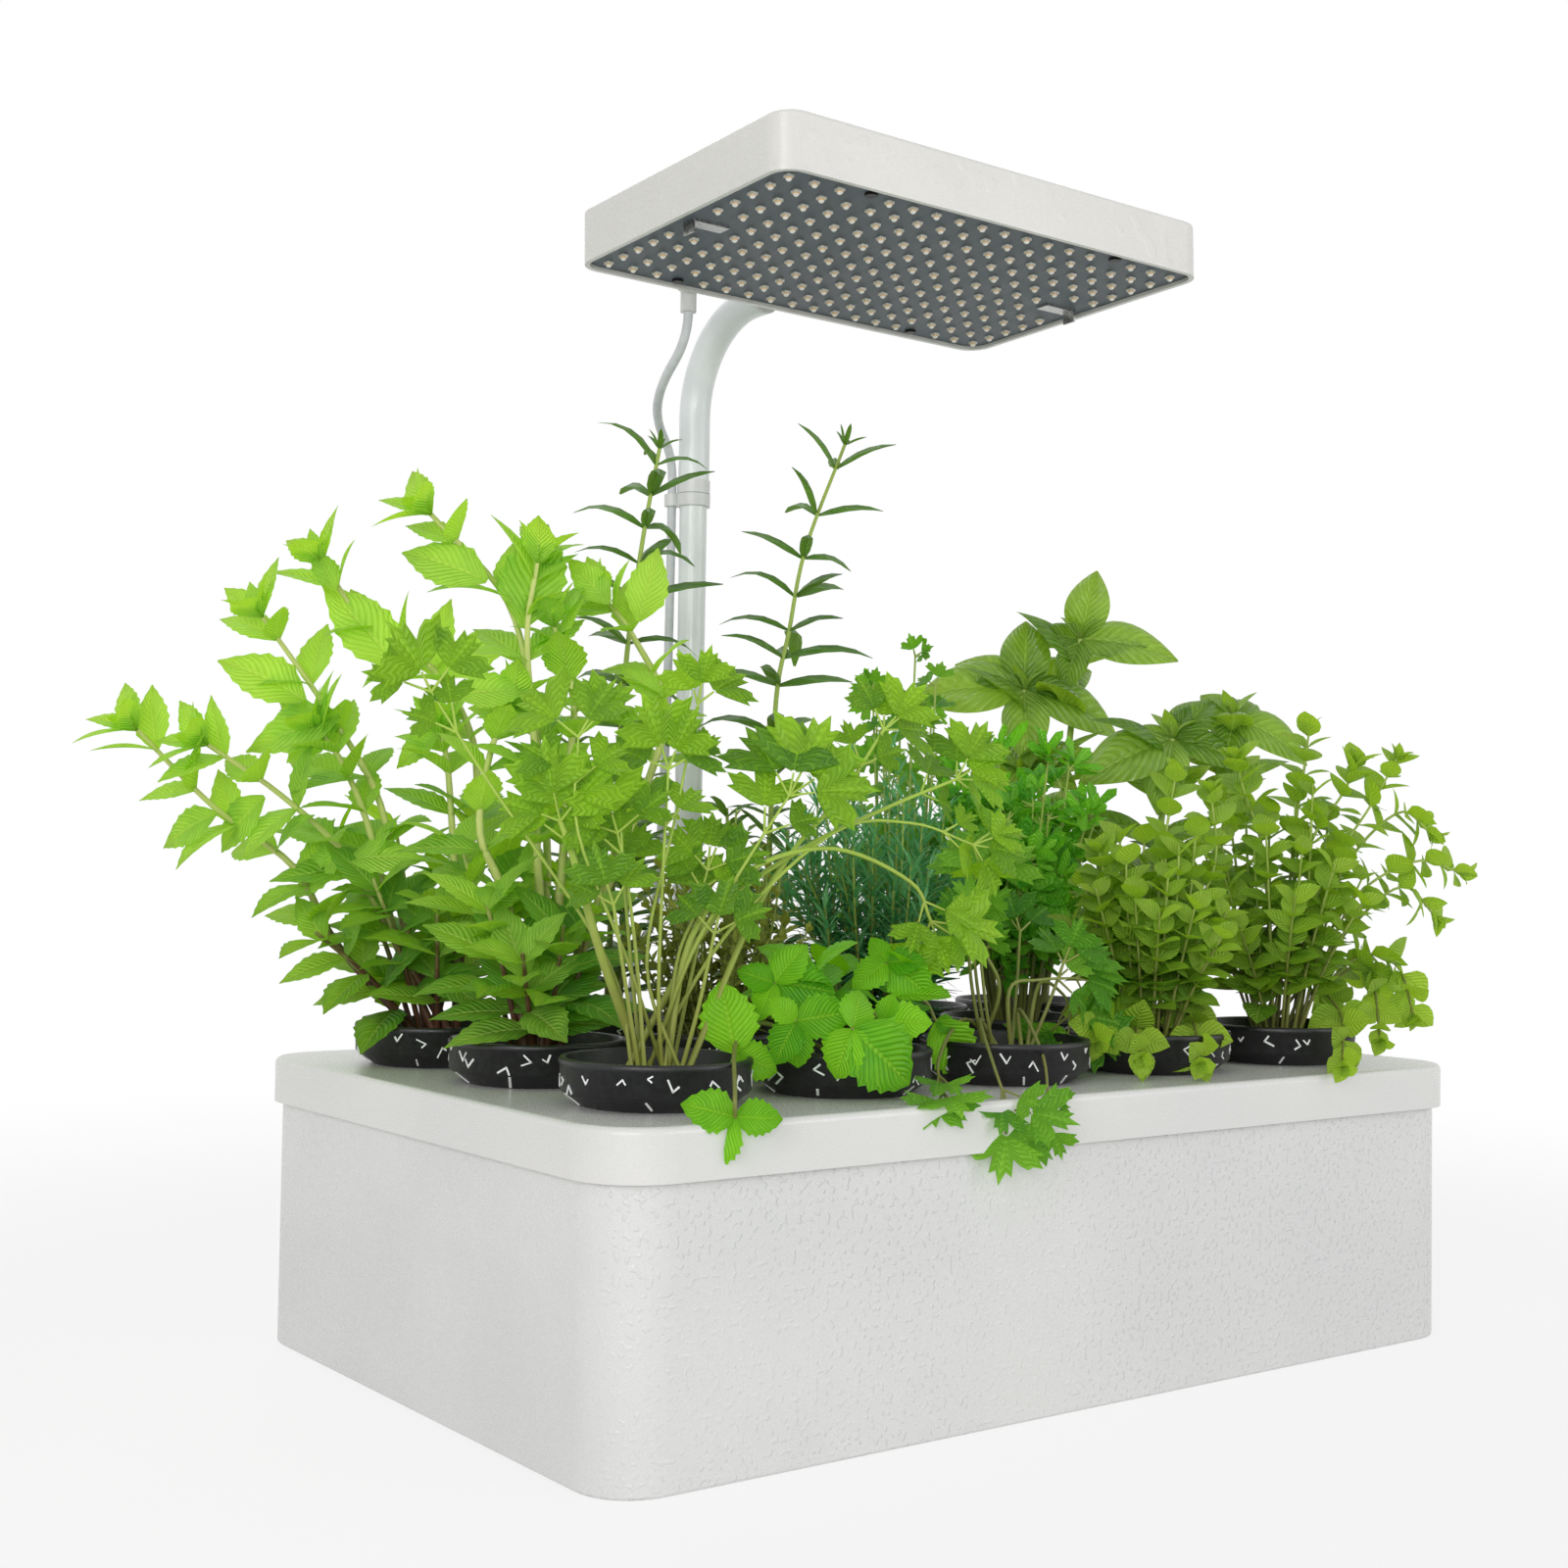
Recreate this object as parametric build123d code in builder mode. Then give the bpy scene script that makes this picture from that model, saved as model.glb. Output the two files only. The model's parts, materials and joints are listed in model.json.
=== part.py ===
"""Propagation station: a water tank with a lid of net cups, herbs, and a grow lamp on a pole.

Millimetres, +Z up, X along the tank. The origin is the middle of the tank's underside.
"""
import os
from dataclasses import dataclass
from math import cos, hypot, pi, radians, sin, tan

from build123d import *

os.makedirs("parts", exist_ok=True)

# Tank
tank_height = 117.0
tank_wall = 3.0
tank_floor = 3.5
tank_corner = 22.0
tank_foot_round = 1.5

# Lid
lid_fit = 1.0
lid_wall = 2.5
lid_plate = 3.5
lid_skirt = 18.5
lid_edge = 2.4
margin_left = 17.4
margin_right = 29.4
margin_front = 19.6
margin_back = 34.8

# Net cups and their grid
columns = 5
rows = 3
pitch = 83.8
cup_sides = 16
cup_radius = 34.0
cup_foot_radius = 27.0
cup_height = 17.0
cup_shoulder = 5.5
cup_wall = 1.8
cup_ledge = 6.4
lean_share = 0.98
basket_radius = 23.5
basket_toe_radius = 19.0
basket_depth = 36.0
basket_slots = 4
basket_slot_width = 4.6
basket_slot_height = 20.0
seat_clearance = 0.7

# Rooted plugs
plug_gap = 0.6
plug_below_rim = 6.0

# Herbs
leaf_thickness = 0.9
last_leaf = 0.97
stem_sides = 4

# Pole and arm
pole_x = -14.0
pole_setback = 17.0
pole_radius = 6.75
pole_wall = 1.25
collar_height = 6.5
collar_radius = 8.1
arm_wall = 0.8
arm_sides = 20
arm_sleeve = 31.0
arm_sleeve_end = 4.0
arm_bend = 48.0
arm_straight = 8.0
swivel_fit = 0.05

# Pole socket
socket_flange_radius = 13.6
socket_flange = 3.0
socket_radius = 9.8
socket_height = 22.0
socket_fit = 0.1
socket_screws = 3
socket_screw_circle = 11.7
socket_screw_radius = 1.0
socket_screw_head_radius = 1.6
socket_screw_head = 0.9

# Lamp
lamp_length = 230.0
lamp_width = 150.0
lamp_height = 23.5
lamp_corner = 11.0
lamp_tilt = 1.7
lamp_wall = 2.2
lamp_top = 2.5
lamp_edge = 1.8
board_inset = 1.5
board_thickness = 1.6
board_fit = 0.4
led_columns = 18
led_rows = 12
led_edge_x = 10.45
led_edge_y = 10.65
led_size = 3.0
led_height = 1.0
led_margin = 1.2
board_screw_inset_x = 48.0
board_screw_inset_y = 7.5
board_screw_radius = 1.5
board_screw_head_radius = 2.6
board_screw_head = 1.2
board_screw_length = 8.0
board_screw_fit = 0.1
boss_radius = 4.0
screw_sides = 8
clip_inset = 17.0
clip_length = 18.0
clip_width = 7.0
clip_sheet = 1.0
clip_lip = 4.5

# Tilt hinge between arm and lamp
hinge_rise = 351.7
hinge_stand = 10.0
hinge_plate_length = 36.0
hinge_plate_height = 17.0
hinge_plate = 2.0
tongue = 8.0
tongue_radius = 5.4
ear = 4.0
ear_radius = 6.0
ear_gap = 0.3
pin_radius = 2.5
pin_fit = 0.05
arm_cap = 2.5
arm_cap_gap = 2.0
knob_hub_radius = 4.8
knob_thickness = 7.0
knob_span = 15.0
knob_wing = 3.6

# Cable, gland, clips and grommet
cable_radius = 2.2
cable_sides = 8
cable_gap = 0.3
cable_side = 143.0
gland_inset = 63.0
gland_drop = 3.0
gland_radius = 6.8
gland_length = 9.0
gland_nut = 3.0
gland_nut_radius = 7.8
gland_spout = 9.0
gland_spout_radius = 3.6
gland_tab = 14.0
gland_tab_width = 4.0
clip_band = 1.4
clip_height = 6.0
clip_rise = 93.5
grommet_x = -44.0
grommet_setback = 14.0
grommet_radius = 4.6
grommet_flange_radius = 6.6
grommet_flange = 2.0

# Power socket and driver box
driver_x = 70.0
driver_setback = 26.0
driver_length = 80.0
driver_width = 30.0
driver_height = 30.0
driver_round = 3.0
inlet_setback = 19.0
inlet_radius = 4.6
inlet_flange_radius = 6.8
inlet_flange = 3.0
inlet_bore = 2.8
inlet_depth = 5.5

# Pump
pump_end_gap = 26.5
pump_back_gap = 27.5
pump_length = 48.0
pump_width = 38.0
pump_height = 32.0
pump_round = 4.0
guard_depth = 8.0
guard_wall = 2.0
guard_slots = 5
guard_slot_width = 2.6
nozzle_radius = 5.0
nozzle_bore = 3.6
nozzle_height = 14.0
nozzle_setback = 10.0

# Levels and places that follow from the sizes above
lid_top = tank_height + lid_plate
skirt_base = lid_top - lid_skirt
lid_overhang = lid_fit + lid_wall
lid_length = (columns - 1) * pitch + 2 * cup_radius + margin_left + margin_right
lid_width = (rows - 1) * pitch + 2 * cup_radius + margin_front + margin_back
lid_corner = tank_corner + lid_overhang
tank_length = lid_length - 2 * lid_overhang
tank_width = lid_width - 2 * lid_overhang
grid_x = (margin_left - margin_right) / 2
grid_y = (margin_front - margin_back) / 2
seat_radius = basket_radius + seat_clearance
plug_top = cup_height - plug_below_rim
lid_back = lid_width / 2
pole_y = lid_back - pole_setback
hinge_height = lid_top + hinge_rise
arm_radius = pole_radius + swivel_fit + arm_wall
arm_bore = arm_radius - arm_wall
collar_top = hinge_height - arm_bend - arm_sleeve
collar_base = collar_top - collar_height
arm_tip = pole_y - arm_bend - arm_straight
hinge_y = arm_tip - arm_cap - arm_cap_gap - ear_radius
hinge_point = Vector(pole_x, hinge_y, hinge_height)
board_back = board_inset + board_thickness
lamp_middle = lamp_height / 2
led_pitch_x = (lamp_length - 2 * led_edge_x) / (led_columns - 1)
led_pitch_y = (lamp_width - 2 * led_edge_y) / (led_rows - 1)
board_screw_x = lamp_length / 2 - board_screw_inset_x
board_screw_y = lamp_width / 2 - board_screw_inset_y
clip_x = lamp_length / 2 - clip_inset
gland_x = gland_inset - lamp_length / 2
lamp_level = Plane(
    origin=hinge_point,
    x_dir=(1, 0, 0),
    z_dir=(0, sin(radians(lamp_tilt)), cos(radians(lamp_tilt))),
)
lamp_plane = Plane(
    origin=lamp_level.from_local_coords(Vector(0, -lamp_width / 2 - hinge_stand, -lamp_middle)),
    x_dir=lamp_level.x_dir,
    z_dir=lamp_level.z_dir,
)
cable_reach = collar_radius + cable_gap + cable_radius
cable_x = pole_x + cable_reach * cos(radians(cable_side))
cable_y = pole_y + cable_reach * sin(radians(cable_side))
grommet_y = lid_back - grommet_setback
driver_y = lid_back - driver_setback
inlet_y = lid_back - inlet_setback
pump_x = tank_length / 2 - tank_wall - pump_end_gap - pump_length / 2
pump_y = tank_width / 2 - tank_wall - pump_back_gap - pump_width / 2


def save(name, piece):
    """Label a finished piece and write it as its own file."""
    piece.part.label = name
    export_step(piece.part, f"parts/{name}.step")


def seat_plane(column, row):
    """The lid's surface at the middle of one net cup."""
    x = grid_x + (column - (columns - 1) / 2) * pitch
    y = grid_y + (row - (rows - 1) / 2) * pitch
    return Plane((x, y, lid_top))


# Tank
with BuildPart() as tank:
    with BuildSketch():
        RectangleRounded(tank_length, tank_width, tank_corner)
    extrude(amount=tank_height)
    fillet(tank.faces().sort_by(Axis.Z)[0].edges(), tank_foot_round)
    with BuildSketch(Plane.XY.offset(tank_floor)):
        RectangleRounded(tank_length - 2 * tank_wall, tank_width - 2 * tank_wall, tank_corner - tank_wall)
    extrude(amount=tank_height - tank_floor, mode=Mode.SUBTRACT)
save("tank", tank)

# Lid
with BuildPart() as lid:
    with BuildSketch(Plane.XY.offset(skirt_base)):
        RectangleRounded(lid_length, lid_width, lid_corner)
    extrude(amount=lid_skirt)
    fillet(lid.faces().sort_by(Axis.Z)[-1].edges(), lid_edge)
    with BuildSketch(Plane.XY.offset(skirt_base)):
        RectangleRounded(lid_length - 2 * lid_wall, lid_width - 2 * lid_wall, lid_corner - lid_wall)
    extrude(amount=lid_skirt - lid_plate, mode=Mode.SUBTRACT)
    with BuildSketch(Plane.XY.offset(tank_height)):
        with Locations((grid_x, grid_y)):
            with GridLocations(pitch, pitch, columns, rows):
                RegularPolygon(seat_radius, cup_sides)
        with Locations((grommet_x, grommet_y)):
            Circle(grommet_radius)
        with Locations((driver_x, inlet_y)):
            Circle(inlet_radius)
        with Locations((pole_x, pole_y)):
            with PolarLocations(socket_screw_circle, socket_screws):
                RegularPolygon(socket_screw_radius + socket_fit, screw_sides)
    extrude(amount=lid_plate, mode=Mode.SUBTRACT)
save("lid", lid)


def faceted_plug(top, radius, toe_radius, depth, sides):
    """A prism below a level, in a seat's own frame, whose sides lean in to a smaller foot."""
    with BuildPart() as plug:
        with BuildSketch(Plane.XY.offset(top)):
            RegularPolygon(radius, sides)
        extrude(amount=-depth)
        foot = plug.faces().sort_by(Axis.Z)[0]
        chamfer(foot.edges(), (radius - toe_radius) * cos(pi / sides), depth * lean_share, reference=foot)
    return plug.part


def cup_shape(gap, top, sides):
    """The bowl and basket of a net cup, drawn in by a gap all round and filled to a level."""
    with BuildPart() as shape:
        with BuildSketch(Plane.XY.offset(top)):
            RegularPolygon(cup_radius - gap, sides)
        extrude(amount=-(top - cup_ledge))
        depth = cup_ledge + basket_depth - gap
        add(faceted_plug(cup_ledge, basket_radius - gap, basket_toe_radius - gap, depth, sides))
    return shape.part


# Net cup: a bowl above the lid and a leaning, slotted basket that hangs through the seat
with BuildPart() as net_cup:
    with BuildSketch():
        RegularPolygon(cup_radius, cup_sides)
    extrude(amount=cup_height)
    cup_foot = net_cup.faces().sort_by(Axis.Z)[0]
    foot_slope = (cup_radius - cup_foot_radius) * cos(pi / cup_sides)
    chamfer(cup_foot.edges(), foot_slope, cup_shoulder, reference=cup_foot)
    add(faceted_plug(0, basket_radius, basket_toe_radius, basket_depth, cup_sides))
    add(cup_shape(cup_wall, cup_height, cup_sides), mode=Mode.SUBTRACT)
    for spoke in range(basket_slots):
        facet = radians(360 / cup_sides * (spoke * (cup_sides // basket_slots) + 0.5))
        slot_plane = Plane(
            origin=(0, 0, (cup_wall - basket_depth) / 2),
            x_dir=(-sin(facet), cos(facet), 0),
            z_dir=(cos(facet), sin(facet), 0),
        )
        with BuildSketch(slot_plane):
            Rectangle(basket_slot_width, basket_slot_height)
        extrude(amount=basket_radius, mode=Mode.SUBTRACT)

for row in range(rows):
    for column in range(columns):
        with BuildPart() as placed_cup:
            with Locations(seat_plane(column, row)):
                add(net_cup.part)
        save(f"net_cup_{row + 1}_{column + 1}", placed_cup)


@dataclass
class Herb:
    """One kind of plant: its stems and the pairs of leaves along each."""

    stem_radius: float
    pairs: int
    first_leaf: float
    leaf_length: float
    leaf_width: float
    leaf_rise: float
    twist: float


parsley = Herb(1.3, 2, 0.76, 27.0, 25.0, 14.0, 70.0)
curled_parsley = Herb(1.1, 3, 0.48, 22.0, 21.0, 18.0, 80.0)
lemon_balm = Herb(1.2, 2, 0.50, 28.0, 25.0, 12.0, 90.0)
coriander = Herb(1.0, 2, 0.62, 21.0, 20.0, 18.0, 80.0)
oregano = Herb(1.0, 4, 0.34, 19.0, 17.0, 26.0, 90.0)
mint = Herb(1.6, 4, 0.36, 37.0, 22.0, 30.0, 90.0)
thyme = Herb(1.0, 3, 0.34, 22.0, 14.0, 40.0, 75.0)
savory = Herb(1.0, 4, 0.34, 22.0, 9.0, 48.0, 75.0)
basil = Herb(1.9, 3, 0.55, 39.0, 25.0, 24.0, 90.0)
rosemary = Herb(1.5, 5, 0.30, 31.0, 7.0, 30.0, 55.0)


@dataclass
class Planting:
    """Where one herb stands, and each of its stems by heading, reach and rise from the plug."""

    name: str
    herb: Herb
    column: int
    row: int
    stems: tuple


plantings = (
    Planting(
        "parsley_1", parsley, 0, 0,
        ((190, 50, 92), (46, 8, 94), (180, 18, 118), (182, 86, 118), (240, 34, 70)),
    ),
    Planting("lemon_balm_1", lemon_balm, 1, 0, ((212, 18, 42), (245, 34, 36), (300, 22, 46), (80, 10, 30))),
    Planting(
        "coriander_1", coriander, 2, 0,
        ((236, 40, 20), (262, 42, 12), (200, 18, 72), (20, 16, 60), (90, 12, 68)),
    ),
    Planting(
        "oregano_1", oregano, 3, 0,
        ((0, 12, 118), (192, 18, 90), (245, 44, 20), (290, 24, 60), (60, 16, 84)),
    ),
    Planting(
        "oregano_2", oregano, 4, 0,
        ((340, 62, 124), (334, 86, 76), (14, 30, 136), (180, 14, 122), (310, 52, 30)),
    ),
    Planting(
        "mint_1", mint, 0, 1,
        ((176, 54, 156), (172, 24, 182), (186, 84, 104), (200, 4, 200), (180, 40, 60)),
    ),
    Planting("thyme_1", thyme, 1, 1, ((0, 18, 86), (100, 18, 74), (190, 18, 90), (280, 18, 66))),
    Planting("savory_1", savory, 2, 1, ((20, 18, 96), (110, 18, 112), (200, 18, 100), (290, 18, 84))),
    Planting(
        "parsley_2", curled_parsley, 3, 1,
        ((0, 14, 118), (95, 16, 90), (185, 16, 104), (275, 16, 76)),
    ),
    Planting("basil_1", basil, 4, 1, ((0, 20, 136), (0, 46, 144), (350, 30, 70))),
    Planting(
        "mint_2", mint, 0, 2,
        ((174, 100, 124), (166, 120, 120), (170, 76, 168), (178, 50, 184), (121, 46, 146)),
    ),
    Planting("rosemary_1", rosemary, 1, 2, ((345, 10, 240), (150, 8, 170), (260, 6, 120))),
    Planting("rosemary_2", rosemary, 2, 2, ((330, 8, 262), (90, 8, 190), (200, 8, 120))),
    Planting("coriander_2", coriander, 3, 2, ((0, 18, 186), (110, 18, 120), (240, 16, 104), (50, 18, 90))),
    Planting("basil_2", basil, 4, 2, ((180, 6, 166), (8, 42, 196), (90, 24, 96))),
)


def leaf_outline(herb):
    """Pointed leaf, widest a little before its middle."""
    half = herb.leaf_width / 2
    wide = herb.leaf_length * 0.42
    Polygon((0, 0), (wide, -half), (herb.leaf_length, 0), (wide, half), align=None)


def rooted_herb(planting):
    """Plug in the net cup, its stems and their opposite pairs of leaves."""
    herb = planting.herb
    seat = seat_plane(planting.column, planting.row)
    base = seat.offset(plug_top).origin
    leaf_rise = radians(herb.leaf_rise)
    blades = []
    with BuildPart() as plant:
        with Locations(seat):
            add(cup_shape(cup_wall + plug_gap, plug_top, cup_sides))
        for bearing, reach, rise in planting.stems:
            heading = radians(bearing)
            tip = base + Vector(reach * cos(heading), reach * sin(heading), rise)
            with BuildSketch(Plane(base, z_dir=tip - base)):
                RegularPolygon(herb.stem_radius, stem_sides)
            extrude(amount=(tip - base).length)
            for pair in range(herb.pairs):
                along = herb.first_leaf + (last_leaf - herb.first_leaf) * pair / (herb.pairs - 1)
                foot = base + (tip - base) * along
                for flip in (0, pi):
                    turn = heading + pi / 2 + radians(herb.twist) * pair + flip
                    out = Vector(cos(turn) * cos(leaf_rise), sin(turn) * cos(leaf_rise), sin(leaf_rise))
                    up = Vector(-cos(turn) * sin(leaf_rise), -sin(turn) * sin(leaf_rise), cos(leaf_rise))
                    blades.append(Plane(foot - up * (leaf_thickness / 2), x_dir=out, z_dir=up))
        for blade in blades:
            with BuildSketch(blade):
                leaf_outline(herb)
        extrude(amount=leaf_thickness)
    return plant


for planting in plantings:
    save(planting.name, rooted_herb(planting))

# Pole socket on the lid, with its screws
pole_foot = Plane((pole_x, pole_y, lid_top))
with BuildPart() as pole_socket:
    with BuildSketch(pole_foot):
        Circle(socket_flange_radius)
    extrude(amount=socket_flange)
    with BuildSketch(pole_foot):
        Circle(socket_radius)
    extrude(amount=socket_height)
    with BuildSketch(pole_foot):
        Circle(pole_radius + socket_fit)
        with PolarLocations(socket_screw_circle, socket_screws):
            RegularPolygon(socket_screw_radius + socket_fit, screw_sides)
    extrude(amount=socket_height, mode=Mode.SUBTRACT)
save("pole_socket", pole_socket)

# Straight lower tube, which stands in the socket and reaches up into the arm
with BuildPart() as lower_pole:
    with BuildSketch(pole_foot):
        Circle(pole_radius)
        Circle(pole_radius - pole_wall, mode=Mode.SUBTRACT)
    extrude(amount=collar_top + arm_sleeve - arm_sleeve_end - lid_top)
save("lower_pole", lower_pole)

# Ring that the arm turns on
with BuildPart() as pole_collar:
    with BuildSketch(Plane((pole_x, pole_y, collar_base))):
        Circle(collar_radius)
        Circle(pole_radius + socket_fit, mode=Mode.SUBTRACT)
    extrude(amount=collar_height)
save("pole_collar", pole_collar)

# Curved upper tube, bored where it turns on the pole and where its end plug sits
arm_mouth = Plane((pole_x, arm_tip, hinge_height), x_dir=(1, 0, 0), z_dir=(0, 1, 0))
with BuildPart() as upper_arm:
    with BuildLine():
        FilletPolyline(
            (pole_x, pole_y, collar_top),
            (pole_x, pole_y, hinge_height),
            (pole_x, arm_tip, hinge_height),
            radius=arm_bend,
        )
    with BuildSketch(Plane((pole_x, pole_y, collar_top))):
        RegularPolygon(arm_radius, arm_sides)
    sweep()
    with BuildSketch(Plane((pole_x, pole_y, collar_top))):
        Circle(arm_bore)
    extrude(amount=arm_sleeve, mode=Mode.SUBTRACT)
    with BuildSketch(arm_mouth):
        Circle(arm_bore)
    extrude(amount=arm_straight, mode=Mode.SUBTRACT)
save("upper_arm", upper_arm)

# Plug in the arm's end with the hinge tongue
hinge_side = Plane(hinge_point, x_dir=(0, 1, 0), z_dir=(1, 0, 0))
with BuildPart() as arm_end:
    with BuildSketch(arm_mouth):
        Circle(arm_bore - socket_fit)
    extrude(amount=arm_straight)
    with BuildSketch(arm_mouth):
        Circle(arm_radius)
    extrude(amount=-arm_cap)
    with BuildSketch(hinge_side.offset(-tongue / 2)):
        Circle(tongue_radius)
        with Locations(((arm_tip - arm_cap - hinge_y) / 2, 0)):
            Rectangle(arm_tip - arm_cap - hinge_y, 2 * tongue_radius)
    extrude(amount=tongue)
    with BuildSketch(hinge_side.offset(-tongue / 2)):
        Circle(pin_radius + pin_fit)
    extrude(amount=tongue, mode=Mode.SUBTRACT)
save("arm_end", arm_end)

# Lamp housing: a tray, open downwards, with posts for the board's screws
with BuildPart() as lamp_housing:
    with BuildSketch(lamp_plane):
        RectangleRounded(lamp_length, lamp_width, lamp_corner)
    extrude(amount=lamp_height)
    fillet(lamp_housing.faces().sort_by(Axis.Z)[-1].edges(), lamp_edge)
    with BuildSketch(lamp_plane):
        RectangleRounded(lamp_length - 2 * lamp_wall, lamp_width - 2 * lamp_wall, lamp_corner - lamp_wall)
    extrude(amount=lamp_height - lamp_top, mode=Mode.SUBTRACT)
    with BuildSketch(lamp_plane.offset(board_back)):
        with GridLocations(2 * board_screw_x, 2 * board_screw_y, 2, 2):
            RegularPolygon(boss_radius, screw_sides)
            RegularPolygon(board_screw_radius + board_screw_fit, screw_sides, mode=Mode.SUBTRACT)
    extrude(amount=lamp_height - lamp_top - board_back)
save("lamp_housing", lamp_housing)

# LED board
with BuildPart() as led_board:
    with BuildSketch(lamp_plane.offset(board_inset)):
        RectangleRounded(
            lamp_length - 2 * (lamp_wall + board_fit),
            lamp_width - 2 * (lamp_wall + board_fit),
            lamp_corner - lamp_wall - board_fit,
        )
        with GridLocations(2 * board_screw_x, 2 * board_screw_y, 2, 2):
            RegularPolygon(board_screw_radius + board_screw_fit, screw_sides, mode=Mode.SUBTRACT)
    extrude(amount=board_thickness)
save("led_board", led_board)


def led_is_clear(x, y):
    """Whether a chip misses the board's screws and clips."""
    half = led_size / 2 + led_margin
    from_screw = hypot(abs(x) - board_screw_x, abs(y) - board_screw_y)
    on_clip = abs(abs(x) - clip_x) < clip_length / 2 + half and abs(y) < clip_width / 2 + half
    return from_screw > board_screw_head_radius + half and not on_clip


# LED chips, a grid on the underside of the board
led_face = lamp_plane.offset(board_inset)
led_grid = GridLocations(led_pitch_x, led_pitch_y, led_columns, led_rows).local_locations
led_places = [place for place in led_grid if led_is_clear(place.position.X, place.position.Y)]
with BuildPart() as led_chips:
    with BuildSketch(led_face):
        with Locations(*led_places):
            Rectangle(led_size, led_size)
    extrude(amount=-led_height)
save("led_chips", led_chips)

# Board screws
with BuildPart() as board_screws:
    with BuildSketch(led_face):
        with GridLocations(2 * board_screw_x, 2 * board_screw_y, 2, 2):
            RegularPolygon(board_screw_head_radius, screw_sides)
    extrude(amount=-board_screw_head)
    with BuildSketch(led_face):
        with GridLocations(2 * board_screw_x, 2 * board_screw_y, 2, 2):
            RegularPolygon(board_screw_radius, screw_sides)
    extrude(amount=board_screw_length)
save("board_screws", board_screws)

# Two bent metal clips on the board
with BuildPart() as board_clips:
    with BuildSketch(led_face):
        with GridLocations(2 * clip_x, 1, 2, 1):
            Rectangle(clip_length, clip_width)
    extrude(amount=-clip_sheet)
    with BuildSketch(led_face.offset(-clip_sheet)):
        for side in (-1, 1):
            with Locations((side * (clip_x + clip_length / 2 - clip_sheet / 2), 0)):
                Rectangle(clip_sheet, clip_width)
    extrude(amount=-clip_lip)
save("board_clips", board_clips)

# Hinge bracket on the back of the lamp
lamp_back = Plane(
    lamp_plane.from_local_coords(Vector(0, lamp_width / 2, lamp_middle)),
    x_dir=(1, 0, 0),
    z_dir=lamp_plane.y_dir,
)
lamp_hinge_side = Plane(hinge_point, x_dir=lamp_plane.y_dir, z_dir=(1, 0, 0))
ear_inner = tongue / 2 + ear_gap
with BuildPart() as lamp_bracket:
    with BuildSketch(lamp_back):
        RectangleRounded(hinge_plate_length, hinge_plate_height, hinge_plate)
    extrude(amount=hinge_plate)
    for start in (ear_inner, -ear_inner - ear):
        with BuildSketch(lamp_hinge_side.offset(start)):
            Circle(ear_radius)
            with Locations((-hinge_stand / 2, 0)):
                Rectangle(hinge_stand, 2 * ear_radius)
        extrude(amount=ear)
    with BuildSketch(lamp_hinge_side.offset(-ear_inner - ear)):
        Circle(pin_radius + pin_fit)
    extrude(amount=2 * (ear_inner + ear), mode=Mode.SUBTRACT)
save("lamp_bracket", lamp_bracket)

# Hinge pin: a head at the right ear, a bare end through the knob at the left
knob_start = -ear_inner - ear - ear_gap - knob_thickness
with BuildPart() as tilt_pin:
    with BuildSketch(lamp_hinge_side.offset(knob_start)):
        Circle(pin_radius)
    extrude(amount=ear_inner + ear - knob_start)
    with BuildSketch(lamp_hinge_side.offset(ear_inner + ear)):
        Circle(ear_radius - ear_gap)
    extrude(amount=pin_radius)
save("tilt_pin", tilt_pin)

# Wing knob that clamps the tilt
with BuildPart() as tilt_knob:
    with BuildSketch(lamp_hinge_side.offset(knob_start)):
        Circle(knob_hub_radius)
        SlotOverall(knob_span, knob_wing)
        Circle(pin_radius + pin_fit, mode=Mode.SUBTRACT)
    extrude(amount=knob_thickness)
save("tilt_knob", tilt_knob)

# Cable gland on the back of the lamp, with its spout turned down
gland_centre = lamp_plane.from_local_coords(
    Vector(gland_x, lamp_width / 2 + gland_length / 2 + gland_nut / 2, lamp_middle - gland_drop)
)
with BuildPart() as cable_gland:
    with BuildSketch(lamp_back):
        with Locations((gland_x, gland_drop)):
            Circle(gland_nut_radius)
    extrude(amount=gland_nut)
    with BuildSketch(lamp_back.offset(gland_nut)):
        with Locations((gland_x, gland_drop)):
            Circle(gland_radius)
    extrude(amount=gland_length - gland_nut)
    with BuildSketch(Plane(gland_centre, z_dir=(0, 0, -1))):
        Circle(gland_spout_radius)
    extrude(amount=gland_radius + gland_spout)
    with BuildSketch(lamp_back):
        with Locations((gland_x + gland_nut_radius + gland_tab / 2 - 1, gland_drop)):
            Rectangle(gland_tab, gland_tab_width)
    extrude(amount=gland_nut)
save("cable_gland", cable_gland)

# Cable, from the gland to the pole and down into the lid
cable_start = gland_centre - Vector(0, 0, gland_radius + gland_spout)
upper_route = (
    cable_start,
    cable_start + Vector(0, 0, -12.0),
    cable_start + Vector(7.0, 20.0, -28.0),
    Vector(cable_x - 16.0, cable_y - 18.0, collar_top + 23.0),
    Vector(cable_x, cable_y, collar_top + 12.0),
    Vector(cable_x, cable_y, collar_top),
)
lower_route = (
    Vector(cable_x, cable_y, collar_top),
    Vector(cable_x, cable_y, lid_top + 62.0),
    Vector(grommet_x, grommet_y, lid_top + 40.0),
    Vector(grommet_x, grommet_y, lid_top - lid_plate),
)


def route_radii(points):
    """The largest arc that each corner of a route has room for."""
    radii = []
    for before, corner, after in zip(points, points[1:], points[2:]):
        first, second = corner - before, after - corner
        turn = radians(first.get_angle(second))
        radii.append(0.45 * min(first.length, second.length) / tan(turn / 2))
    return radii


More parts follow.
